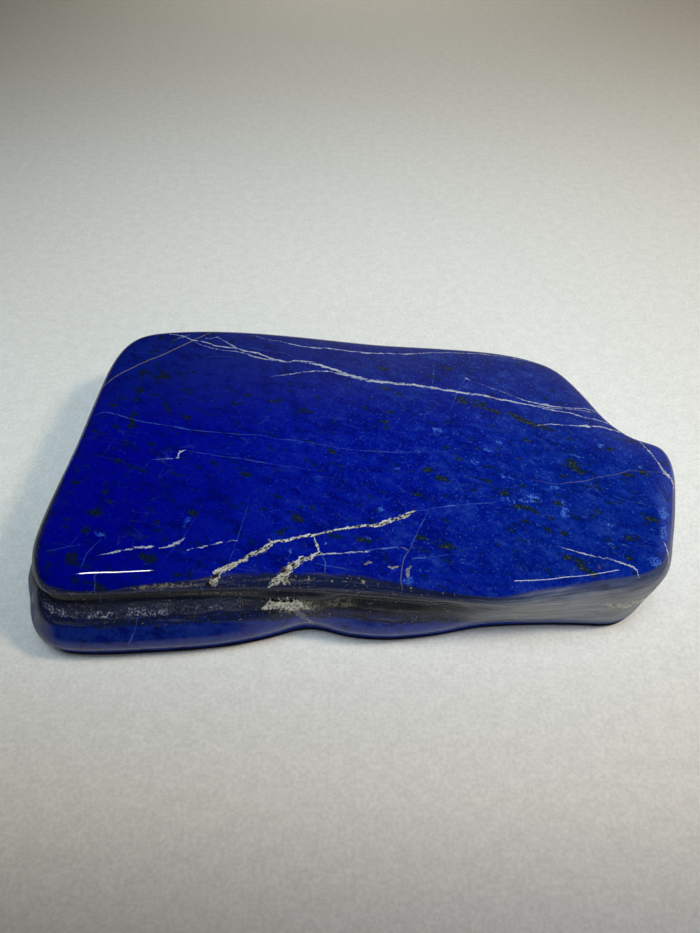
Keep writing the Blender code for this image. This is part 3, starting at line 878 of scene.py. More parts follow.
class LapisPainter:
    """Builds the lapis finish's nodes, step by step from the ground to the veins."""

    def __init__(self, finish: LapisFinish, material: bpy.types.Material, bench: Bench) -> None:
        """Set up the places that every step reads.

        Args:
            finish: The colours.
            material: The material that is painted.
            bench: The bench on the material's tree.
        """
        self.finish = finish
        self.material = material
        self.bench = bench
        self.sheet = sheet_group()
        self.line = line_group()
        self.spot = spot_group()
        object_place = bench.add("ShaderNodeTexCoord").outputs["Object"]
        self.place = bench.vectors("SCALE", object_place, PER_MM)
        self.x, self.y, self.z = bench.split(self.place)
        self.wavy = self.warped(self.place, 3.5, 0.55, 3.0)
        self.torn = self.warped(self.wavy, 1.2, 0.45, 3.0)

    def warped(self, place: Feed, size: float, reach: float, detail: float) -> bpy.types.NodeSocket:
        """Push places about by noise.

        Args:
            place: The places.
            size: The noise's size.
            reach: How far they are pushed.
            detail: How many finer layers the noise has.

        Returns:
            The places, pushed about.
        """
        feeds = {"Vector": place, "Scale": 1.0 / size, "Detail": detail, "Roughness": 0.62}
        push = self.bench.add("ShaderNodeTexNoise", feeds).outputs["Color"]
        centred = self.bench.vectors("SUBTRACT", push, (0.5, 0.5, 0.5))
        return self.bench.vectors("ADD", place, self.bench.vectors("SCALE", centred, 2.0 * reach))

    def spots(self, spots: Iterable[Spot], place: Feed) -> bpy.types.NodeSocket:
        """Join several soft ovals.

        Args:
            spots: The ovals.
            place: The places that they are read at.

        Returns:
            The largest of their masks.
        """
        masks = []
        for spot in spots:
            feeds = {
                "Place": place, "Centre": spot.place, "Half Size": spot.half_size,
                "Turn": -math.radians(spot.turn_deg), "Strength": spot.strength,
            }
            masks.append(self.bench.group(self.spot, feeds).outputs["Mask"])
        return self.bench.most(masks)

    def marks(self, marks: Sequence[Mark], place: Feed) -> bpy.types.NodeSocket:
        """Join many small ovals that all run the way the flecks run.

        Args:
            marks: The ovals: across, deep, half length, half width and strength.
            place: The places that they are read at.

        Returns:
            0 outside them, rising to about twice their strength at their middles.
        """
        bench = self.bench
        turn = -math.radians(FLECK_TURN_DEG)
        feeds = {"Vector": place, "Angle": turn}
        turned = bench.add("ShaderNodeVectorRotate", feeds, rotation_type="Z_AXIS").outputs[0]
        found = []
        for across, deep, length, width, strength in marks:
            middle = Vector((across, deep))
            middle.rotate(Matrix.Rotation(turn, 2))
            away = bench.vectors("SUBTRACT", turned, (*middle, 0.0))
            shares = bench.vectors("MULTIPLY", away, (1.0 / length, 1.0 / width, 0.0))
            far = bench.vectors("LENGTH", shares, out="Value")
            found.append(bench.linear(far, -2.0 * strength, 2.0 * strength))
        return bench.maths("MAXIMUM", bench.most(found), 0.0)

    def vein(self, vein: Vein, ragged: Feed, soft: float) -> bpy.types.NodeSocket:
        """Draw one vein.

        Args:
            vein: The vein.
            ragged: What its width is multiplied by.
            soft: How wide its edge is.

        Returns:
            1 in the vein and 0 outside it, times its strength.
        """
        heading = (Vector(vein.points[-1][:2]) - Vector(vein.points[0][:2])).normalized()
        across = Vector((-heading.y, heading.x))
        along = [Vector(point[:2]).dot(heading) for point in vein.points]
        middle = [(run, Vector(point[:2]).dot(across)) for run, point in zip(along, vein.points)]
        width = [(run, point[2]) for run, point in zip(along, vein.points)]
        width = [(along[0] - END_TAPER, -0.3), *width, (along[-1] + END_TAPER, -0.3)]
        torn = vein.filling in (Filling.CALCITE, Filling.PITTED)
        place = (self.torn if torn else self.wavy) if vein.facing is Facing.PLAN else self.front_place
        feeds = {"Place": place, "Heading": (*heading, 0.0), "Across": (*across, 0.0)}
        sheet = self.bench.group(self.sheet, feeds)
        feeds = {
            "Aside": sheet.outputs["Aside"], "Middle": self.bench.curve(sheet.outputs["Along"], middle),
            "Half Width": self.bench.curve(sheet.outputs["Along"], width, Bend.STRAIGHT),
            "Ragged": ragged, "Soft": soft, "Strength": vein.strength,
        }
        return self.bench.group(self.line, feeds).outputs["Mask"]

    def veins(self, filling: Filling, ragged: Feed, soft: float) -> bpy.types.NodeSocket:
        """Join all veins of one filling.

        Args:
            filling: The filling.
            ragged: What their width is multiplied by.
            soft: How wide their edge is.

        Returns:
            The largest of their masks, each kept to the side that it is seen from.
        """
        joined = []
        for facing, kept in ((Facing.PLAN, self.off_front), (Facing.FRONT, self.on_front)):
            chosen = [vein for vein in VEINS if vein.filling is filling and vein.facing is facing]
            masks = [self.vein(vein, ragged, soft) for vein in chosen]
            if masks:
                joined.append(self.bench.times(self.bench.most(masks), kept))
        return self.bench.most(joined)

    def paint(self) -> bpy.types.Material:
        """Build every step and the shader.

        Returns:
            The finished material.
        """
        bench, finish = self.bench, self.finish
        self.sides()
        colour = self.flecks(self.wisps(self.ground()))
        colour = self.matrix(colour)
        colour, vein_share = self.vein_colours(colour)
        # Painted contact shadow: the foot is painted near black below about 4 mm, where the gap under the
        # stone lies in shade.
        colour = bench.blend(bench.step(self.z, 4.5, 3.8), colour, finish.foot_painted_shadow)
        # Pits are darkened, partly as dirt and partly as painted shade in the hollows.
        pit = bench.add("ShaderNodeAttribute", attribute_name="pit").outputs["Fac"]
        colour = bench.blend(bench.step(pit, 0.15, 0.7), colour, finish.pit_dirt_and_shade)
        feeds = {
            "Base Color": colour, "Roughness": self.roughness(vein_share, pit), "IOR": 1.5,
            "Normal": self.relief(), "Specular IOR Level": self.lustre(),
        }
        shader = bench.add("ShaderNodeBsdfPrincipled", feeds)
        bench.add("ShaderNodeOutputMaterial", {"Surface": shader.outputs[0]})
        return self.material

    def sides(self) -> None:
        """Work out which side a place is on, and the front's own coordinates."""
        bench = self.bench
        ragged = bench.linear(bench.cloud(self.place, 2.2, 3.0, 0.65), 5.0, bench.minus(self.z, 2.5))
        low = bench.step(ragged, 29.2, 28.0)
        fore = bench.step(self.y, -50.0, -54.0)
        self.on_front = bench.times(bench.step(self.y, -48.0, -52.0), bench.step(self.z, 31.9, 31.2))
        self.off_front = bench.minus(1.0, bench.times(low, fore))
        x, y, z = bench.split(self.torn)
        self.front_place = bench.join(x, z, y)
        self.right = bench.step(self.x, -70.0, 65.0)

    def ground(self) -> bpy.types.NodeSocket:
        """The blue ground: deep at the left, lighter and greener at the right, cloudy all over.

        Returns:
            The colour.
        """
        bench, finish = self.bench, self.finish
        drift = bench.linear(bench.cloud(self.place, 40.0, 2.0), 60.0, -30.0)
        across = bench.plus(self.x, drift)
        colour = bench.blend(bench.step(across, -85.0, -15.0), finish.deep_blue, finish.middle_blue)
        colour = bench.blend(bench.step(across, 5.0, 85.0), colour, finish.right_blue)
        deep = bench.linear(drift, 0.4, self.y)
        colour = bench.blend(bench.times(bench.step(deep, 0.0, 55.0), 0.85), colour, finish.back_blue)
        colour = bench.blend(bench.step(self.z, 22.0, 14.0), colour, finish.lobe_blue)
        mottle = self.streaky(7.0, 4.2, 5.0, 0.62)
        dark = bench.between(self.right, 0.85, 0.55)
        colour = bench.blend(bench.times(bench.step(mottle, 0.52, 0.34), dark), colour, finish.shade_blue)
        light = bench.times(bench.step(mottle, 0.48, 0.72), bench.linear(self.right, 0.42, 0.02))
        colour = bench.blend(light, colour, finish.cloud_blue)
        grain = bench.cloud(self.wavy, 0.9, 3.0, 0.7)
        colour = bench.blend(bench.times(bench.step(grain, 0.50, 0.34), 0.50), colour, finish.shade_blue)
        bright = bench.times(bench.step(grain, 0.50, 0.70), bench.linear(self.right, 0.26, 0.02))
        return bench.blend(bright, colour, finish.cloud_blue)

    def streaky(
        self, length: float, width: float, detail: float, rough: float = 0.6, turn_deg: float = -28.0,
        shift: Feed = (0.0, 0.0, 0.0),
    ) -> bpy.types.NodeSocket:
        """Noise drawn out one way.

        Args:
            length: The streaks' length.
            width: Their width.
            detail: How many finer layers there are.
            rough: How strong the finer layers are.
            turn_deg: The way they run, from the x axis.
            shift: A step that gives another pattern.

        Returns:
            The noise.
        """
        bench = self.bench
        feeds = {"Vector": bench.vectors("ADD", self.wavy, shift), "Angle": -math.radians(turn_deg)}
        turned = bench.add("ShaderNodeVectorRotate", feeds, rotation_type="Z_AXIS").outputs[0]
        drawn = bench.vectors("DIVIDE", turned, (length, width, width))
        feeds = {"Vector": drawn, "Scale": 1.0, "Detail": detail, "Roughness": rough}
        return bench.add("ShaderNodeTexNoise", feeds).outputs[0]

    def threads(self, noise_value: Feed, thin: float) -> bpy.types.NodeSocket:
        """Thin threads where a noise passes its middle value.

        Args:
            noise_value: The noise.
            thin: How far from the middle value the threads reach.

        Returns:
            1 on the threads and 0 beside them.
        """
        away = self.bench.maths("ABSOLUTE", self.bench.minus(noise_value, 0.5))
        return self.bench.step(away, thin, 0.0)

    def wisps(self, colour: Feed) -> bpy.types.NodeSocket:
        """Light blue wisps, pale specks and long hairlines, thicker towards the right.

        Args:
            colour: The colour beneath.

        Returns:
            The colour with them.
        """
        bench, finish = self.bench, self.finish
        gathered = self.marks(LIGHT_PLACES, self.warped(self.place, 2.4, 1.6, 3.0))
        patches = self.streaky(6.5, 3.6, 3.0, 0.6, -30.0, (17.0, 5.0, 9.0))
        patches = bench.plus(patches, bench.linear(self.right, 0.11, -0.085))
        soft = bench.times(bench.step(patches, 0.56, 0.80), 0.16)
        colour = bench.blend(soft, colour, finish.wisp_blue)
        torn = bench.cloud(self.wavy, 3.4, 4.0, 0.68)
        lines = bench.times(self.threads(torn, 0.018), bench.step(patches, 0.54, 0.64))
        colour = bench.blend(bench.times(lines, 0.32), colour, finish.sparkle_blue)
        barbs = bench.between(self.threads(bench.cloud(self.wavy, 1.8, 4.0, 0.7), 0.070), 0.30, 1.35)
        feathers = bench.times(bench.maths("MINIMUM", gathered, 1.0), barbs)
        feathered = bench.times(bench.step(feathers, 0.30, 1.10), 0.80)
        colour = bench.blend(feathered, colour, finish.feather_blue)
        tips = bench.times(bench.step(feathers, 0.90, 1.30), 0.55)
        colour = bench.blend(tips, colour, finish.pale_blue)
        aside = bench.vectors("ADD", self.wavy, (3.0, 8.0, 1.0))
        sparkle = bench.step(bench.cloud(aside, 0.9, 2.0, 0.6), 0.61, 0.74)
        sparkle = bench.times(sparkle, bench.between(self.right, 0.12, 0.60))
        colour = bench.blend(sparkle, colour, finish.sparkle_blue)
        shown = bench.step(bench.cloud(self.place, 16.0, 2.0), 0.50, 0.68)
        first = self.threads(self.streaky(60.0, 6.0, 1.0, 0.5, 70.0, (0.0, 40.0, 0.0)), 0.012)
        second = self.threads(self.streaky(60.0, 8.0, 1.0, 0.5, -12.0, (50.0, 0.0, 0.0)), 0.010)
        hair = bench.times(bench.maths("MAXIMUM", first, second), shown)
        return bench.blend(bench.times(hair, 0.06), colour, finish.pale_blue)

    def flecks(self, colour: Feed) -> bpy.types.NodeSocket:
        """Dark flecks with golden grains, gathered in trails.

        Args:
            colour: The colour beneath.

        Returns:
            The colour with them.
        """
        bench, finish = self.bench, self.finish
        gathered = self.marks(FLECK_PLACES, self.wavy)
        strung = bench.most([self.vein(trail, 1.0, 0.9) for trail in TRAILS])
        near = bench.maths("MINIMUM", bench.maths("MAXIMUM", gathered, strung), 1.4)
        thick = bench.curve(self.x, finish.fleck_cover)
        patchy = bench.linear(bench.cloud(self.place, 20.0, 2.0), 0.10, -0.05)
        cover = bench.plus(thick, patchy)
        lumps = bench.plus(self.streaky(6.0, 3.1, 3.5, 0.60, FLECK_TURN_DEG, (5.0, 31.0, 12.0)), cover)
        fine = bench.linear(bench.cloud(self.wavy, 1.3, 3.0, 0.7), 0.22, -0.11)
        lumps = bench.plus(bench.linear(near, 0.135, lumps), fine)
        colour = bench.blend(bench.times(bench.step(lumps, 0.590, 0.68), 0.62), colour, finish.fleck_halo)
        dark = bench.blend(bench.step(self.x, -60.0, 20.0), finish.fleck_left, finish.fleck_right)
        grains = bench.step(bench.cloud(self.place, 0.75, 2.0, 0.7), 0.50, 0.66)
        golden = bench.between(self.right, bench.times(near, 0.15), bench.linear(near, 0.40, 0.20))
        dark = bench.blend(bench.times(grains, golden), dark, finish.fleck_gold)
        return bench.blend(bench.times(bench.step(lumps, 0.645, 0.725), 0.92), colour, dark)

    def matrix(self, colour: Feed) -> bpy.types.NodeSocket:
        """The bedded matrix round the sides, with its pale crystals and golden grains, and a painted
        reflection on the left end.

        Args:
            colour: The colour beneath.

        Returns:
            The colour with it.
        """
        bench, finish = self.bench, self.finish
        x, y, z = self.x, self.y, self.z
        behind = bench.curve(y, finish.matrix_top_behind, Bend.STRAIGHT)
        upper = bench.maths("MINIMUM", bench.curve(x, finish.matrix_top), behind)
        lower = bench.curve(x, finish.matrix_foot)
        uneven = bench.linear(bench.cloud(self.place, 5.0, 5.0, 0.7), 3.6, -1.8)
        above = bench.step(bench.minus(bench.plus(z, uneven), lower), -0.8, 0.8)
        below = bench.step(bench.minus(bench.linear(uneven, 0.30, z), upper), 0.30, -0.30)
        height = bench.maths("DIVIDE", bench.minus(z, lower), bench.minus(upper, lower))
        right = bench.step(x, 28.0, 60.0)
        stone, height = self.bedded_stone(height, right)
        stone = self.grains(stone, right)
        blue_grains = bench.step(bench.cloud(self.wavy, 1.2, 3.0, 0.7), 0.50, 0.60)
        kept = bench.linear(bench.times(blue_grains, bench.step(height, 0.30, 0.12)), -0.55, 1.0)
        front = bench.maths("MAXIMUM", bench.step(y, -40.0, -50.0), bench.step(x, -92.0, -99.0))
        layer = bench.times(bench.times(below, above), bench.linear(front, 0.55, 0.45))
        self.matrix_share = bench.times(layer, bench.between(right, kept, 1.0))
        # Painted reflection: the left end below the rim is tinted towards a slate-blue haze.
        left = bench.times(bench.step(x, -96.0, -104.0), bench.step(z, 28.0, 25.0))
        colour = bench.blend(bench.times(left, 0.8), colour, finish.left_painted_reflection)
        colour = bench.blend(self.matrix_share, colour, stone)
        return self.crystals(colour)

    def bedded_stone(
        self, height: Feed, right: Feed,
    ) -> tuple[bpy.types.NodeSocket, bpy.types.NodeSocket]:
        """The matrix's beds, with dull and pale streaks and the fine marks of the polishing.

        Args:
            height: How high in the matrix a place lies, from 0 to 1.
            right: 1 on the right wall and 0 left of it.

        Returns:
            The colour, and the height with the streaks' unevenness.
        """
        bench, finish, x = self.bench, self.finish, self.x
        along, deep = bench.maths("DIVIDE", x, 17.0), bench.maths("DIVIDE", self.y, 17.0)
        flow = bench.join(along, deep, bench.times(height, 11.0))
        feeds = {"Vector": flow, "Scale": 1.0, "Detail": 5.0, "Roughness": 0.66}
        streaks = bench.add("ShaderNodeTexNoise", feeds).outputs[0]
        height = bench.plus(height, bench.linear(streaks, 0.16, -0.08))
        left_beds = bench.beds(height, finish.left_beds)
        middle_beds = bench.beds(height, finish.middle_beds)
        stone = bench.blend(bench.step(x, -44.0, -20.0), left_beds, middle_beds)
        stone = bench.blend(right, stone, bench.beds(height, finish.right_beds))
        dull = bench.times(bench.step(streaks, 0.54, 0.30), 0.55)
        stone = bench.blend(dull, stone, finish.streak_dark)
        pale = bench.times(bench.step(streaks, 0.56, 0.74), 0.30)
        stone = bench.blend(pale, stone, finish.streak_pale)
        corner = bench.times(bench.step(x, 66.0, 80.0), bench.step(height, 0.62, 0.74))
        stone = bench.blend(bench.times(corner, 0.5), stone, finish.corner_slate)
        brushed = bench.cloud(bench.join(bench.maths("DIVIDE", x, 480.0), 0.0, height), 0.035, 3.0, 0.6)
        dark = bench.times(bench.step(brushed, 0.54, 0.34), 0.60)
        stone = bench.blend(dark, stone, finish.brushed_dark)
        light = bench.times(bench.step(brushed, 0.53, 0.68), bench.between(right, 0.12, 0.32))
        return bench.blend(light, stone, finish.brushed_pale), height

    def grains(self, stone: Feed, right: Feed) -> bpy.types.NodeSocket:
        """Golden grains and pale sand in the matrix.

        Args:
            stone: The matrix's colour.
            right: 1 on the right wall and 0 left of it.

        Returns:
            The colour with them.
        """
        bench, finish = self.bench, self.finish
        grains = bench.step(bench.cloud(self.place, 0.70, 2.0, 0.75), 0.635, 0.680)
        patches = bench.step(bench.cloud(self.place, 6.0, 2.0), 0.40, 0.60)
        dots = bench.times(bench.times(grains, patches), bench.between(right, 0.85, 0.10))
        stone = bench.blend(dots, stone, finish.gold)
        sand = self.spots(SAND_SPOTS, self.warped(self.place, 3.0, 1.0, 3.0))
        sandy = bench.step(bench.cloud(self.place, 0.9, 3.0, 0.75), 0.56, 0.44)
        return bench.blend(bench.times(sand, sandy), stone, finish.sand)

    def crystals(self, colour: Feed) -> bpy.types.NodeSocket:
        """Small pale crystals on a dark ground, in their band in the groove.

        Args:
            colour: The colour beneath.

        Returns:
            The colour with them.
        """
        bench, finish = self.bench, self.finish
        self.druse = self.druse_band()
        colour = bench.blend(bench.times(self.druse, 0.75), colour, finish.druse_ground)
        crystals = bench.step(bench.cloud(self.place, 0.75, 3.0, 0.8), 0.50, 0.58)
        showing = bench.between(bench.step(bench.cloud(self.place, 5.0, 2.0), 0.44, 0.58), 0.15, 1.0)
        crystals = bench.times(crystals, showing)
        return bench.blend(bench.times(self.druse, crystals), colour, finish.druse)

    def druse_band(self) -> bpy.types.NodeSocket:
        """The rough band of pale crystals in the groove of the front's left half.

        Returns:
            1 in the band and 0 outside it.
        """
        bench = self.bench
        uneven = bench.linear(bench.cloud(self.place, 8.0, 5.0, 0.65), 2.4, -1.2)
        height = bench.plus(self.z, uneven)
        band = bench.times(bench.step(height, 18.1, 18.4), bench.step(height, 19.6, 19.2))
        sides = bench.times(bench.step(self.x, -103.0, -99.0), bench.step(self.x, -36.0, -56.0))
        return bench.times(bench.times(band, sides), bench.step(self.y, -50.0, -53.0))

    def vein_colours(self, colour: Feed) -> tuple[bpy.types.NodeSocket, bpy.types.NodeSocket]:
        """Lay the veins over the rest.

        Args:
            colour: The colour beneath.

        Returns:
            The colour with the veins, and the share of the surface that they take.
        """
        bench, finish = self.bench, self.finish
        strands = self.streaky(5.0, 0.55, 3.0, 0.65, -14.0, (2.0, 7.0, 3.0))
        fibres = self.streaky(6.0, 0.60, 3.0, 0.60, 36.0, (4.0, 1.0, 6.0))
        torn = bench.cloud(self.place, 1.5, 3.0, 0.72)
        ragged = bench.linear(fibres, 1.4, bench.linear(torn, 2.8, -1.25))
        stranded = bench.linear(strands, 3.4, bench.linear(torn, 1.8, -1.85))
        grain = bench.cloud(self.place, 0.8, 3.0, 0.75)
        dashed = bench.between(bench.step(bench.cloud(self.place, 4.0, 2.0), 0.42, 0.56), 0.35, 1.0)
        faint = self.veins(Filling.FAINT, 0.85, 0.17)
        tan = self.veins(Filling.TAN, 0.90, 0.18)
        calcite = self.veins(Filling.CALCITE, stranded, 0.24)
        pitted = self.veins(Filling.PITTED, ragged, 0.34)
        colour = bench.blend(bench.times(faint, bench.times(dashed, 0.8)), colour, finish.faint)
        tan_colour = bench.blend(bench.step(self.y, -10.0, 20.0), finish.beige, finish.tan)
        colour = bench.blend(tan, colour, tan_colour)
        colour = bench.blend(bench.step(calcite, 0.02, 0.50), colour, finish.calcite_edge)
        clotted = bench.step(bench.plus(grain, strands), 0.82, 1.04)
        core = bench.times(bench.step(calcite, 0.30, 0.95), clotted)
        colour = bench.blend(core, colour, finish.calcite)
        colour = bench.blend(bench.times(bench.step(pitted, 0.02, 0.35), 0.6), colour, finish.vein_rim)
        root = bench.step(self.x, -24.0, -40.0)
        root = bench.maths("MAXIMUM", root, bench.step(self.y, -50.0, -56.0))
        white = bench.blend(root, finish.chalk, finish.cream)
        white = bench.blend(bench.times(bench.step(fibres, 0.54, 0.44), 0.75), white, finish.cream_grey)
        creamy = bench.blend(bench.step(grain, 0.38, 0.48), finish.cream_brown, white)
        colour = bench.blend(bench.step(pitted, 0.25, 0.85), colour, creamy)
        rust = bench.times(self.spots(RUST_SPOTS, self.torn), bench.step(grain, 0.56, 0.44))
        colour = bench.blend(bench.maths("MINIMUM", rust, 1.0), colour, finish.rust)
        holes = bench.step(self.streaky(2.3, 0.8, 2.0, 0.6, 36.0, (9.0, 2.0, 1.0)), 0.570, 0.605)
        cracks = bench.step(bench.times(self.spots(CRACK_SPOTS, self.torn), torn), 0.30, 0.45)
        holes = bench.maths("MAXIMUM", bench.times(holes, bench.step(pitted, 0.70, 0.95)), cracks)
        # Holes and cracks are painted black: partly dirt, partly painted shade inside them.
        colour = bench.blend(holes, colour, finish.pit_dirt_and_shade)
        return colour, bench.most([calcite, pitted, tan, bench.times(faint, 0.5)])

    def roughness(self, vein_share: Feed, pit: Feed) -> bpy.types.NodeSocket:
        """A high polish on the blue, duller on veins and matrix, rough on crystals and pits.

        Args:
            vein_share: The share of the surface that veins take.
            pit: How deep in a pit a place is.

        Returns:
            The roughness.
        """
        bench = self.bench
        polish = bench.linear(bench.cloud(self.place, 12.0, 2.0), 0.02, 0.02)
        rough = bench.between(self.matrix_share, polish, 0.14)
        rough = bench.between(vein_share, rough, 0.36)
        rough = bench.between(self.druse, rough, 0.55)
        return bench.between(bench.maths("MINIMUM", pit, 1.0), rough, 0.85)

    def lustre(self) -> bpy.types.NodeSocket:
        """How strongly a place mirrors: fully on the blue, less on the matrix, hardly at rim and foot.

        Returns:
            The strength, where 0.5 is the full one.
        """
        bench = self.bench
        dull = bench.times(self.matrix_share, bench.step(self.x, 60.0, 10.0))
        strength = bench.between(dull, 0.5, 0.32)
        rim = bench.add("ShaderNodeLayerWeight", {"Blend": 0.5}).outputs["Facing"]
        strength = bench.between(bench.step(rim, 0.58, 0.80), strength, 0.03)
        left = bench.times(bench.step(self.x, -97.0, -106.0), bench.step(self.z, 29.0, 26.0))
        strength = bench.between(left, strength, bench.times(strength, 0.6))
        strength = bench.between(self.druse, strength, 0.08)
        return bench.between(bench.step(self.z, 9.5, 5.0), strength, 0.0)

    def relief(self) -> bpy.types.NodeSocket:
        """Fine relief in the crystals' band.

        Returns:
            The normal.
        """
        bench = self.bench
        fine = bench.minus(bench.cloud(self.place, 0.6, 2.0, 0.7), 0.5)
        feeds = {"Strength": 0.6, "Distance": MM, "Height": bench.times(fine, self.druse)}
        return bench.add("ShaderNodeBump", feeds).outputs[0]


@dataclass(frozen=True)
class PaperFinish:
    """Plain pale paper for the floor."""

    name: str = "paper"
    colour: Colour = (0.87, 0.88, 0.87)
    shade: Colour = (0.70, 0.71, 0.70)

    def material(self) -> bpy.types.Material:
        """Build the material.

        Returns:
            The floor's material.
        """
        material = bpy.data.materials.new(self.name)
        material.use_nodes = True
        bench = Bench(material.node_tree)
        shader = material.node_tree.nodes["Principled BSDF"]
        place = bench.vectors("SCALE", bench.add("ShaderNodeTexCoord").outputs["Object"], PER_MM)
        fibres = bench.cloud(place, 1.3, 3.0, 0.7)
        pulp = bench.linear(bench.cloud(place, 5.0, 3.0, 0.6), 0.45, fibres)
        colour = bench.blend(bench.step(pulp, 0.44, 1.02), self.shade, self.colour)
        bench.feed(shader.inputs["Base Color"], colour)
        bench.feed(shader.inputs["Roughness"], 0.9)
        bench.feed(shader.inputs["Specular IOR Level"], 0.1)
        return material


@dataclass(frozen=True)
class CardFinish:
    """Dull black card."""

    name: str = "black card"
    colour: Colour = (0.01, 0.01, 0.01)

    def material(self) -> bpy.types.Material:
        """Build the material.

        Returns:
            The card's material.
        """
        material = bpy.data.materials.new(self.name)
        material.use_nodes = True
        bench = Bench(material.node_tree)
        shader = material.node_tree.nodes["Principled BSDF"]
        bench.feed(shader.inputs["Base Color"], self.colour)
        bench.feed(shader.inputs["Roughness"], 1.0)
        return material


@dataclass
class Slab:
    """The stone. Sizes are millimetres."""

    node: str = "lapis_slab"
    name: str = "lapis_stone"
    body: str = "root"
    slot: str = "lapis"
    weld: float = 0.01
    quad_bend_deg: float = 40.0
    quad_skew_deg: float = 60.0
    voxel: float = 1.15
    rounding_levels: int = 2
    fine_reach: float = 2.6
    fine_cuts: int = 2
    carved_back: float = -28.0
    lip_heights: tuple[float, float] = (24.5, 27.5)
    crystals_foot: float = 13.0
    undulation: float = 0.10
    bed_ridge: float = 0.05
    crystal_height: float = 0.40
    foot_reach: float = 4.4
    foot_fade: float = 1.9
    foot_draw: float = 1.3
    groove_fill: float = 1.2
    lip_step: float = 1.3
    lobe_draw: float = 2.0
    seed: int = 5
    finish: LapisFinish = field(default_factory=LapisFinish)

    def build(self) -> bpy.types.Object:
        """Build and dress the stone.

        Returns:
            The finished piece.
        """
        target = self.rounded_solid()
        mesh = bmesh.new()
        even = self.evenly_meshed(target)
        mesh.from_mesh(even)
        bpy.data.meshes.remove(even)
        self.refine(mesh)
        self.settle(mesh, target)
        self.ease(mesh)
        self.carve(mesh)
        data = bpy.data.meshes.new(self.name)
        mesh.to_mesh(data)
        mesh.free()
        bpy.data.objects.remove(target)
        data.shade_smooth()
        data.materials.append(self.finish.material())
        stone = bpy.data.objects.new(self.name, data)
        bpy.context.scene.collection.objects.link(stone)
        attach(stone, self.body)
        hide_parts(self.node)
        return stone

    def rounded_solid(self) -> bpy.types.Object:
        """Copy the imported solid, weld it into quads and round it off.

        Returns:
            A helper object that carries the smooth form.
        """
        mesh = bmesh.new()
        mesh.from_mesh(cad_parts[self.node].data)
        bmesh.ops.remove_doubles(mesh, verts=mesh.verts, dist=self.weld * MM)
        bmesh.ops.join_triangles(
            mesh, faces=mesh.faces, angle_face_threshold=math.radians(self.quad_bend_deg),
            angle_shape_threshold=math.radians(self.quad_skew_deg))
        data = bpy.data.meshes.new("rounded")
        mesh.to_mesh(data)
        mesh.free()
        helper = bpy.data.objects.new("rounded", data)
        bpy.context.scene.collection.objects.link(helper)
        smoother = helper.modifiers.new("rounding", "SUBSURF")
        smoother.levels = self.rounding_levels
        smoother.render_levels = self.rounding_levels
        return helper

    def evenly_meshed(self, target: bpy.types.Object) -> bpy.types.Mesh:
        """Mesh the smooth form with even small faces.

        Args:
            target: The object that carries the smooth form.

        Returns:
            The new mesh.
        """
        remesher = target.modifiers.new("even faces", "REMESH")
        remesher.mode = "VOXEL"
        remesher.voxel_size = self.voxel * MM
        graph = bpy.context.evaluated_depsgraph_get()
        data = bpy.data.meshes.new_from_object(target.evaluated_get(graph))
        target.modifiers.remove(remesher)
        return data

    def refine(self, mesh: bmesh.types.BMesh) -> None:
        """Make the faces finer where crystals, pits and the lip's edge are carved.

        Args:
            mesh: The stone's mesh.
        """
        fine = {vert for vert in mesh.verts if self.carved_place(vert.co * PER_MM)}
        edges = [edge for edge in mesh.edges if edge.verts[0] in fine and edge.verts[1] in fine]
        bmesh.ops.subdivide_edges(mesh, edges=edges, cuts=self.fine_cuts, use_grid_fill=True)

    def carved_place(self, place: Vector) -> bool:
        """Whether a place is in the crystals' band, on the lip's edge or on a pitted vein.

        Args:
            place: The place, in millimetres.

        Returns:
            True if it is.
        """
        if place.y > self.carved_back:
            return False
        lip_low, lip_high = self.lip_heights
        if place.y < -52.0 and lip_low < place.z < lip_high and place.x < 52.0:
            return True
        if place.z < lip_low:
            return place.y < -54.0 and self.crystals_foot < place.z and place.x < -8.0
        drawn = [vein for vein in PITTED_VEINS if vein.facing is Facing.PLAN]
        return any(distance_to(vein, place) < self.fine_reach for vein in drawn)

    def settle(self, mesh: bmesh.types.BMesh, target: bpy.types.Object) -> None:
        """Bring every point onto the smooth form.

        Args:
            mesh: The stone's mesh.
            target: The object that carries the smooth form.
        """
        graph = bpy.context.evaluated_depsgraph_get()
        form = BVHTree.FromObject(target, graph)
        for vert in mesh.verts:
            nearest, _, _, _ = form.find_nearest(vert.co)
            vert.co = nearest
        mesh.normal_update()

    def ease(self, mesh: bmesh.types.BMesh) -> None:
        """Tighten the foot and draw it in, fill the groove and lay the lobes' upper halves back.

        Args:
            mesh: The stone's mesh.
        """
        for vert in mesh.verts:
            x, y, z = vert.co * PER_MM
            out = Vector((vert.normal.x, vert.normal.y, 0.0))
            if z > 27.0 or out.length < 0.2:
                continue
            front = smooth(y, -46.0, -54.0)
            foot = self.foot_reach * math.exp(-z / self.foot_fade)
            drawn = self.foot_draw * smooth(z, 12.0, 5.0) * smooth(x, 108.0, 56.0)
            groove = smooth(z, 20.0, 23.0) * smooth(z, 25.5, 24.0) * smooth(x, 45.0, 10.0)
            lip = smooth(z, 26.7, 25.7) * smooth(z, 21.0, 24.0) * smooth(x, 60.0, 20.0)
            lobes = smooth(x, -20.0, -42.0) + 1.1 * smooth(x, -14.0, -4.0) * smooth(x, 42.0, 26.0)
            lobes *= smooth(z, 7.0, 15.0) * smooth(z, 23.5, 20.5)
            inset = self.lip_step * lip + self.lobe_draw * lobes - self.groove_fill * groove
            shift = foot - drawn - front * inset
            vert.co += out.normalized() * shift * MM
        mesh.normal_update()

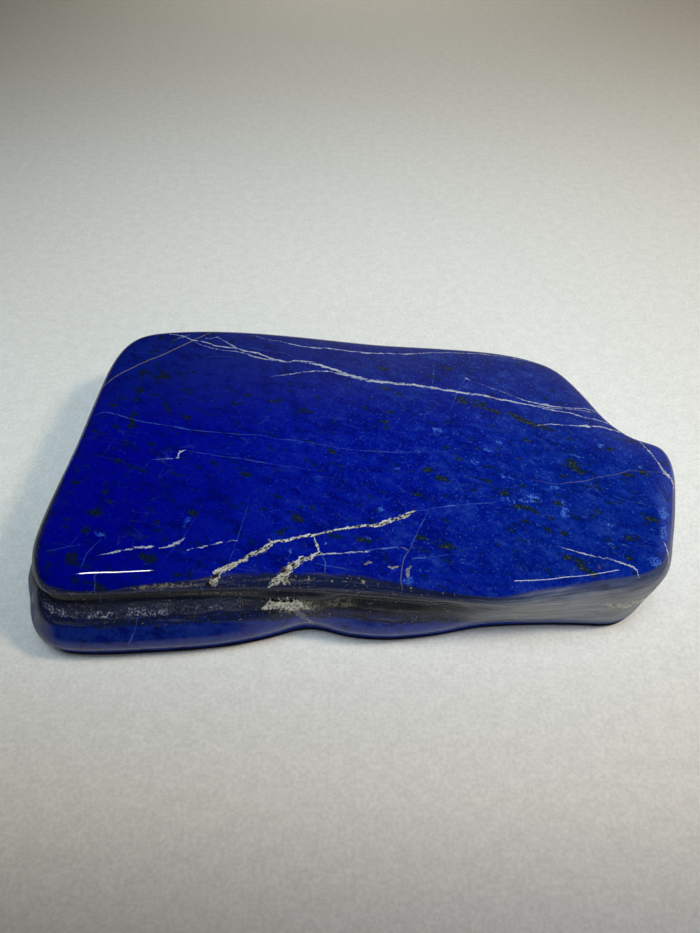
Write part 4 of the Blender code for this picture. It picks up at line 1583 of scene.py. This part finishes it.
    def carve(self, mesh: bmesh.types.BMesh) -> None:
        """Move points along their normals: a hand polish's undulation, beds, crystals and pits.

        Args:
            mesh: The stone's mesh.
        """
        layer = mesh.verts.layers.float.new("pit")
        pits = self.pits()
        for vert in mesh.verts:
            place = vert.co * PER_MM
            if place.z < 1.0:
                continue
            shift = self.undulation * noise.noise(place / 45.0) * smooth(place.z, 12.0, 26.0)
            shift += self.ridges(place) + self.crystals(place)
            depth = 0.0
            for pit in pits:
                near = 1.0 - (place - Vector(pit.place)).length / pit.radius
                if near > 0.0:
                    depth = max(depth, smooth(near, 0.0, 0.7) * pit.depth)
                    vert[layer] = max(vert[layer], smooth(near, 0.0, 0.6))
            vert.co += vert.normal * (shift - depth) * MM

    def ridges(self, place: Vector) -> float:
        """How far the harder beds of the sides stand out.

        Args:
            place: The place, in millimetres.

        Returns:
            The height, in millimetres.
        """
        beds = noise.noise(Vector((place.x / 30.0, place.y / 30.0, place.z / 1.6)))
        return self.bed_ridge * beds * smooth(place.z, 29.0, 25.0) * smooth(place.z, 6.0, 12.0)

    def crystals(self, place: Vector) -> float:
        """How far the rough crystals stand out.

        Args:
            place: The place, in millimetres.

        Returns:
            The height, in millimetres.
        """
        share = smooth(place.z, 16.6, 17.8) * smooth(place.z, 20.8, 19.8)
        share *= smooth(place.x, -103.0, -98.0) * smooth(place.x, -30.0, -55.0)
        share *= smooth(place.y, -56.0, -58.0)
        if share <= 0.0:
            return 0.0
        rough = noise.fractal(place / 1.3, 0.6, 2.0, 3)
        return self.crystal_height * rough * share

    def pits(self) -> list[Pit]:
        """Pits in the roots of the pitted veins and in the wall's patch.

        Returns:
            The pits.
        """
        chance = random.Random(self.seed)
        found = [
            Pit((-46.6, -59.2, 30.2), 1.1, 0.7), Pit((-45.0, -57.6, 31.2), 0.8, 0.6),
            Pit((-48.0, -60.6, 28.6), 0.9, 0.7), Pit((-43.6, -56.2, 31.6), 0.7, 0.5),
            Pit((-24.6, -56.2, 31.4), 0.9, 0.6), Pit((-22.8, -54.4, 31.8), 0.7, 0.5),
            Pit((-23.4, -58.6, 29.0), 0.9, 0.6),
        ]
        for number in range(9):
            along = -30.6 + 1.3 * number + chance.uniform(-0.4, 0.4)
            height = 20.5 + chance.uniform(-0.6, 0.5)
            found.append(Pit((along, -58.6, height), chance.uniform(0.5, 0.95), chance.uniform(0.4, 0.7)))
        for vein in PITTED_VEINS[:2]:
            for (u0, v0, _), (u1, v1, _) in zip(vein.points[1:], vein.points[2:]):
                share = chance.random()
                place = Vector((u0, v0, TOP)).lerp(Vector((u1, v1, TOP)), share)
                place += Vector((chance.uniform(-0.4, 0.4), chance.uniform(-0.4, 0.4), 0.0))
                found.append(Pit(tuple(place), chance.uniform(0.35, 0.6), chance.uniform(0.2, 0.4)))
        return found


def smooth(value: float, low: float, high: float) -> float:
    """Rise smoothly from 0 at low to 1 at high; high may lie below low.

    Args:
        value: The number that is read.
        low: Where the result leaves 0.
        high: Where it reaches 1.

    Returns:
        The share from 0 to 1.
    """
    share = min(1.0, max(0.0, (value - low) / (high - low)))
    return share * share * (3.0 - 2.0 * share)


def distance_to(vein: Vein, place: Vector) -> float:
    """How far a place is from a vein's line in plan.

    Args:
        vein: The vein.
        place: The place, in millimetres.

    Returns:
        The distance, in millimetres.
    """
    spot = Vector(place[:2])
    best = math.inf
    for (u0, v0, _), (u1, v1, _) in zip(vein.points, vein.points[1:]):
        start = Vector((u0, v0))
        run = Vector((u1, v1)) - start
        share = min(1.0, max(0.0, (spot - start).dot(run) / run.length_squared))
        best = min(best, (spot - start - run * share).length)
    return best


@dataclass(frozen=True)
class Lamp:
    """A soft rectangular lamp. Places and sizes are metres, energy is watts."""

    name: str
    place: tuple[float, float, float]
    aim: tuple[float, float, float]
    size: tuple[float, float]
    energy: float
    colour: Colour = (1.0, 1.0, 1.0)
    spread_deg: float = 180.0
    lights: bool = True
    shines: bool = False

    def build(self) -> bpy.types.Object:
        """Hang the lamp.

        Returns:
            The lamp.
        """
        data = bpy.data.lights.new(self.name, "AREA")
        data.shape = "RECTANGLE"
        data.size, data.size_y = self.size
        data.energy = self.energy
        data.spread = math.radians(self.spread_deg)
        data.color = self.colour
        lamp = bpy.data.objects.new(self.name, data)
        lamp.location = self.place
        lamp.rotation_euler = (Vector(self.aim) - Vector(self.place)).to_track_quat("-Z", "Y").to_euler()
        lamp.visible_diffuse = self.lights
        lamp.visible_glossy = self.shines
        lamp.visible_camera = False
        bpy.context.scene.collection.objects.link(lamp)
        return lamp


@dataclass(frozen=True)
class Studio:
    """Floor, lamps, surroundings and camera. Lengths are metres."""

    floor_half: float = 3.0
    floor_drop: float = 0.0001
    camera_place: tuple[float, float, float] = (-0.0029, -0.1763, 0.215)
    camera_pitch_deg: float = 48.0
    focal_share: float = 0.75
    sensor: float = 36.0
    paper: PaperFinish = field(default_factory=PaperFinish)
    card: CardFinish = field(default_factory=CardFinish)
    flag_edges: tuple[float, float, float, float] = (-0.34, 0.50, -0.90, -0.14)
    flag_height: float = 0.245
    lamps: tuple[Lamp, ...] = (
        Lamp("overhead light", (0.03, -0.22, 0.90), (0.02, 0.02, 0.0), (0.6, 0.6), 1.15,
             (0.80, 0.935, 1.0), 60.0),
        Lamp("window", (0.75, -0.12, 0.80), (0.0, 0.0, 0.0), (0.17, 0.17), 5.42, (1.0, 0.81, 0.575)),
        Lamp("front fill", (0.20, -0.40, 0.20), (0.02, -0.05, 0.0), (0.1, 0.1), 0.053,
             (0.80, 0.83, 1.0), 60.0),
        Lamp("far light", (0.0, 0.95, 0.60), (0.0, 0.80, 0.0), (0.3, 0.3), 0.34, (1.0, 0.95, 0.82), 80.0),
        Lamp("left glint", (-0.228, 0.012, 0.50), (-0.228, -0.06, 0.0), (0.076, 0.020), 0.20,
             lights=False, shines=True),
        Lamp("right glint", (0.228, 0.012, 0.50), (0.228, -0.06, 0.0), (0.126, 0.016), 0.085,
             (0.93, 1.0, 0.86), lights=False, shines=True),
    )
    glow: Line = (
        (-0.1, 0.2), (0.2, 0.25), (0.45, 0.3), (0.60, 0.26), (0.65, 0.17), (0.68, 0.07), (0.71, 0.01),
        (0.75, 0.0), (0.9, 0.0))
    glow_colour: Colour = (0.98, 1.0, 0.99)
    dimmest: float = 0.002

    def build(self) -> None:
        """Set up the floor, the lamps, the surroundings and the camera."""
        self.floor()
        self.flag()
        for lamp in self.lamps:
            lamp.build()
        self.surroundings()
        self.camera()
        bpy.context.scene.view_settings.view_transform = "Standard"

    def floor(self) -> bpy.types.Object:
        """Lay the floor.

        Returns:
            The floor.
        """
        mesh = bmesh.new()
        bmesh.ops.create_grid(mesh, x_segments=1, y_segments=1, size=self.floor_half)
        data = bpy.data.meshes.new("floor")
        mesh.to_mesh(data)
        mesh.free()
        data.materials.append(self.paper.material())
        floor = bpy.data.objects.new("floor", data)
        floor.location = (0.0, 0.0, -self.floor_drop)
        bpy.context.scene.collection.objects.link(floor)
        return floor

    def flag(self) -> bpy.types.Object:
        """Hold a black card over the floor in front, to keep part of the overhead light off it.

        Returns:
            The card.
        """
        left, right, front, back = self.flag_edges
        mesh = bmesh.new()
        bmesh.ops.create_grid(mesh, x_segments=1, y_segments=1, size=0.5)
        bmesh.ops.scale(mesh, vec=(right - left, back - front, 1.0), verts=mesh.verts)
        data = bpy.data.meshes.new("flag")
        mesh.to_mesh(data)
        mesh.free()
        data.materials.append(self.card.material())
        card = bpy.data.objects.new("flag", data)
        card.location = ((left + right) / 2.0, (front + back) / 2.0, self.flag_height)
        card.visible_camera = False
        bpy.context.scene.collection.objects.link(card)
        return card

    def surroundings(self) -> None:
        """A pale glow low behind the stone, which fades to near black above and in front."""
        world = bpy.data.worlds.new("studio")
        bpy.context.scene.world = world
        world.use_nodes = True
        world.node_tree.nodes.clear()
        bench = Bench(world.node_tree)
        across, deep, up = bench.split(bench.add("ShaderNodeTexCoord").outputs["Generated"])
        glow = bench.curve(up, self.glow)
        sides = bench.between(bench.step(across, -0.32, 0.08), 0.04, 1.0)
        behind = bench.step(deep, -0.1, 0.35)
        light = bench.plus(bench.times(bench.times(glow, sides), behind), self.dimmest)
        background = bench.add("ShaderNodeBackground", {"Color": self.glow_colour, "Strength": light})
        bench.add("ShaderNodeOutputWorld", {"Surface": background.outputs[0]})

    def camera(self) -> bpy.types.Object:
        """Set up the camera.

        Returns:
            The camera.
        """
        data = bpy.data.cameras.new("camera")
        data.sensor_width = self.sensor
        data.lens = self.sensor * self.focal_share
        data.clip_start = 0.01
        camera = bpy.data.objects.new("camera", data)
        camera.location = self.camera_place
        camera.rotation_euler = (math.radians(90.0 - self.camera_pitch_deg), 0.0, 0.0)
        bpy.context.scene.collection.objects.link(camera)
        bpy.context.scene.camera = camera
        return camera


def main() -> None:
    """Build the stone and the studio, and note the sizes."""
    logging.basicConfig(level=logging.INFO, format="%(name)s: %(message)s")
    stone = Slab().build()
    log.info("%s: %d faces", stone.name, len(stone.data.polygons))
    Studio().build()
    log.info("studio: floor, lamps, surroundings and camera")


if __name__ == "__main__":
    main()
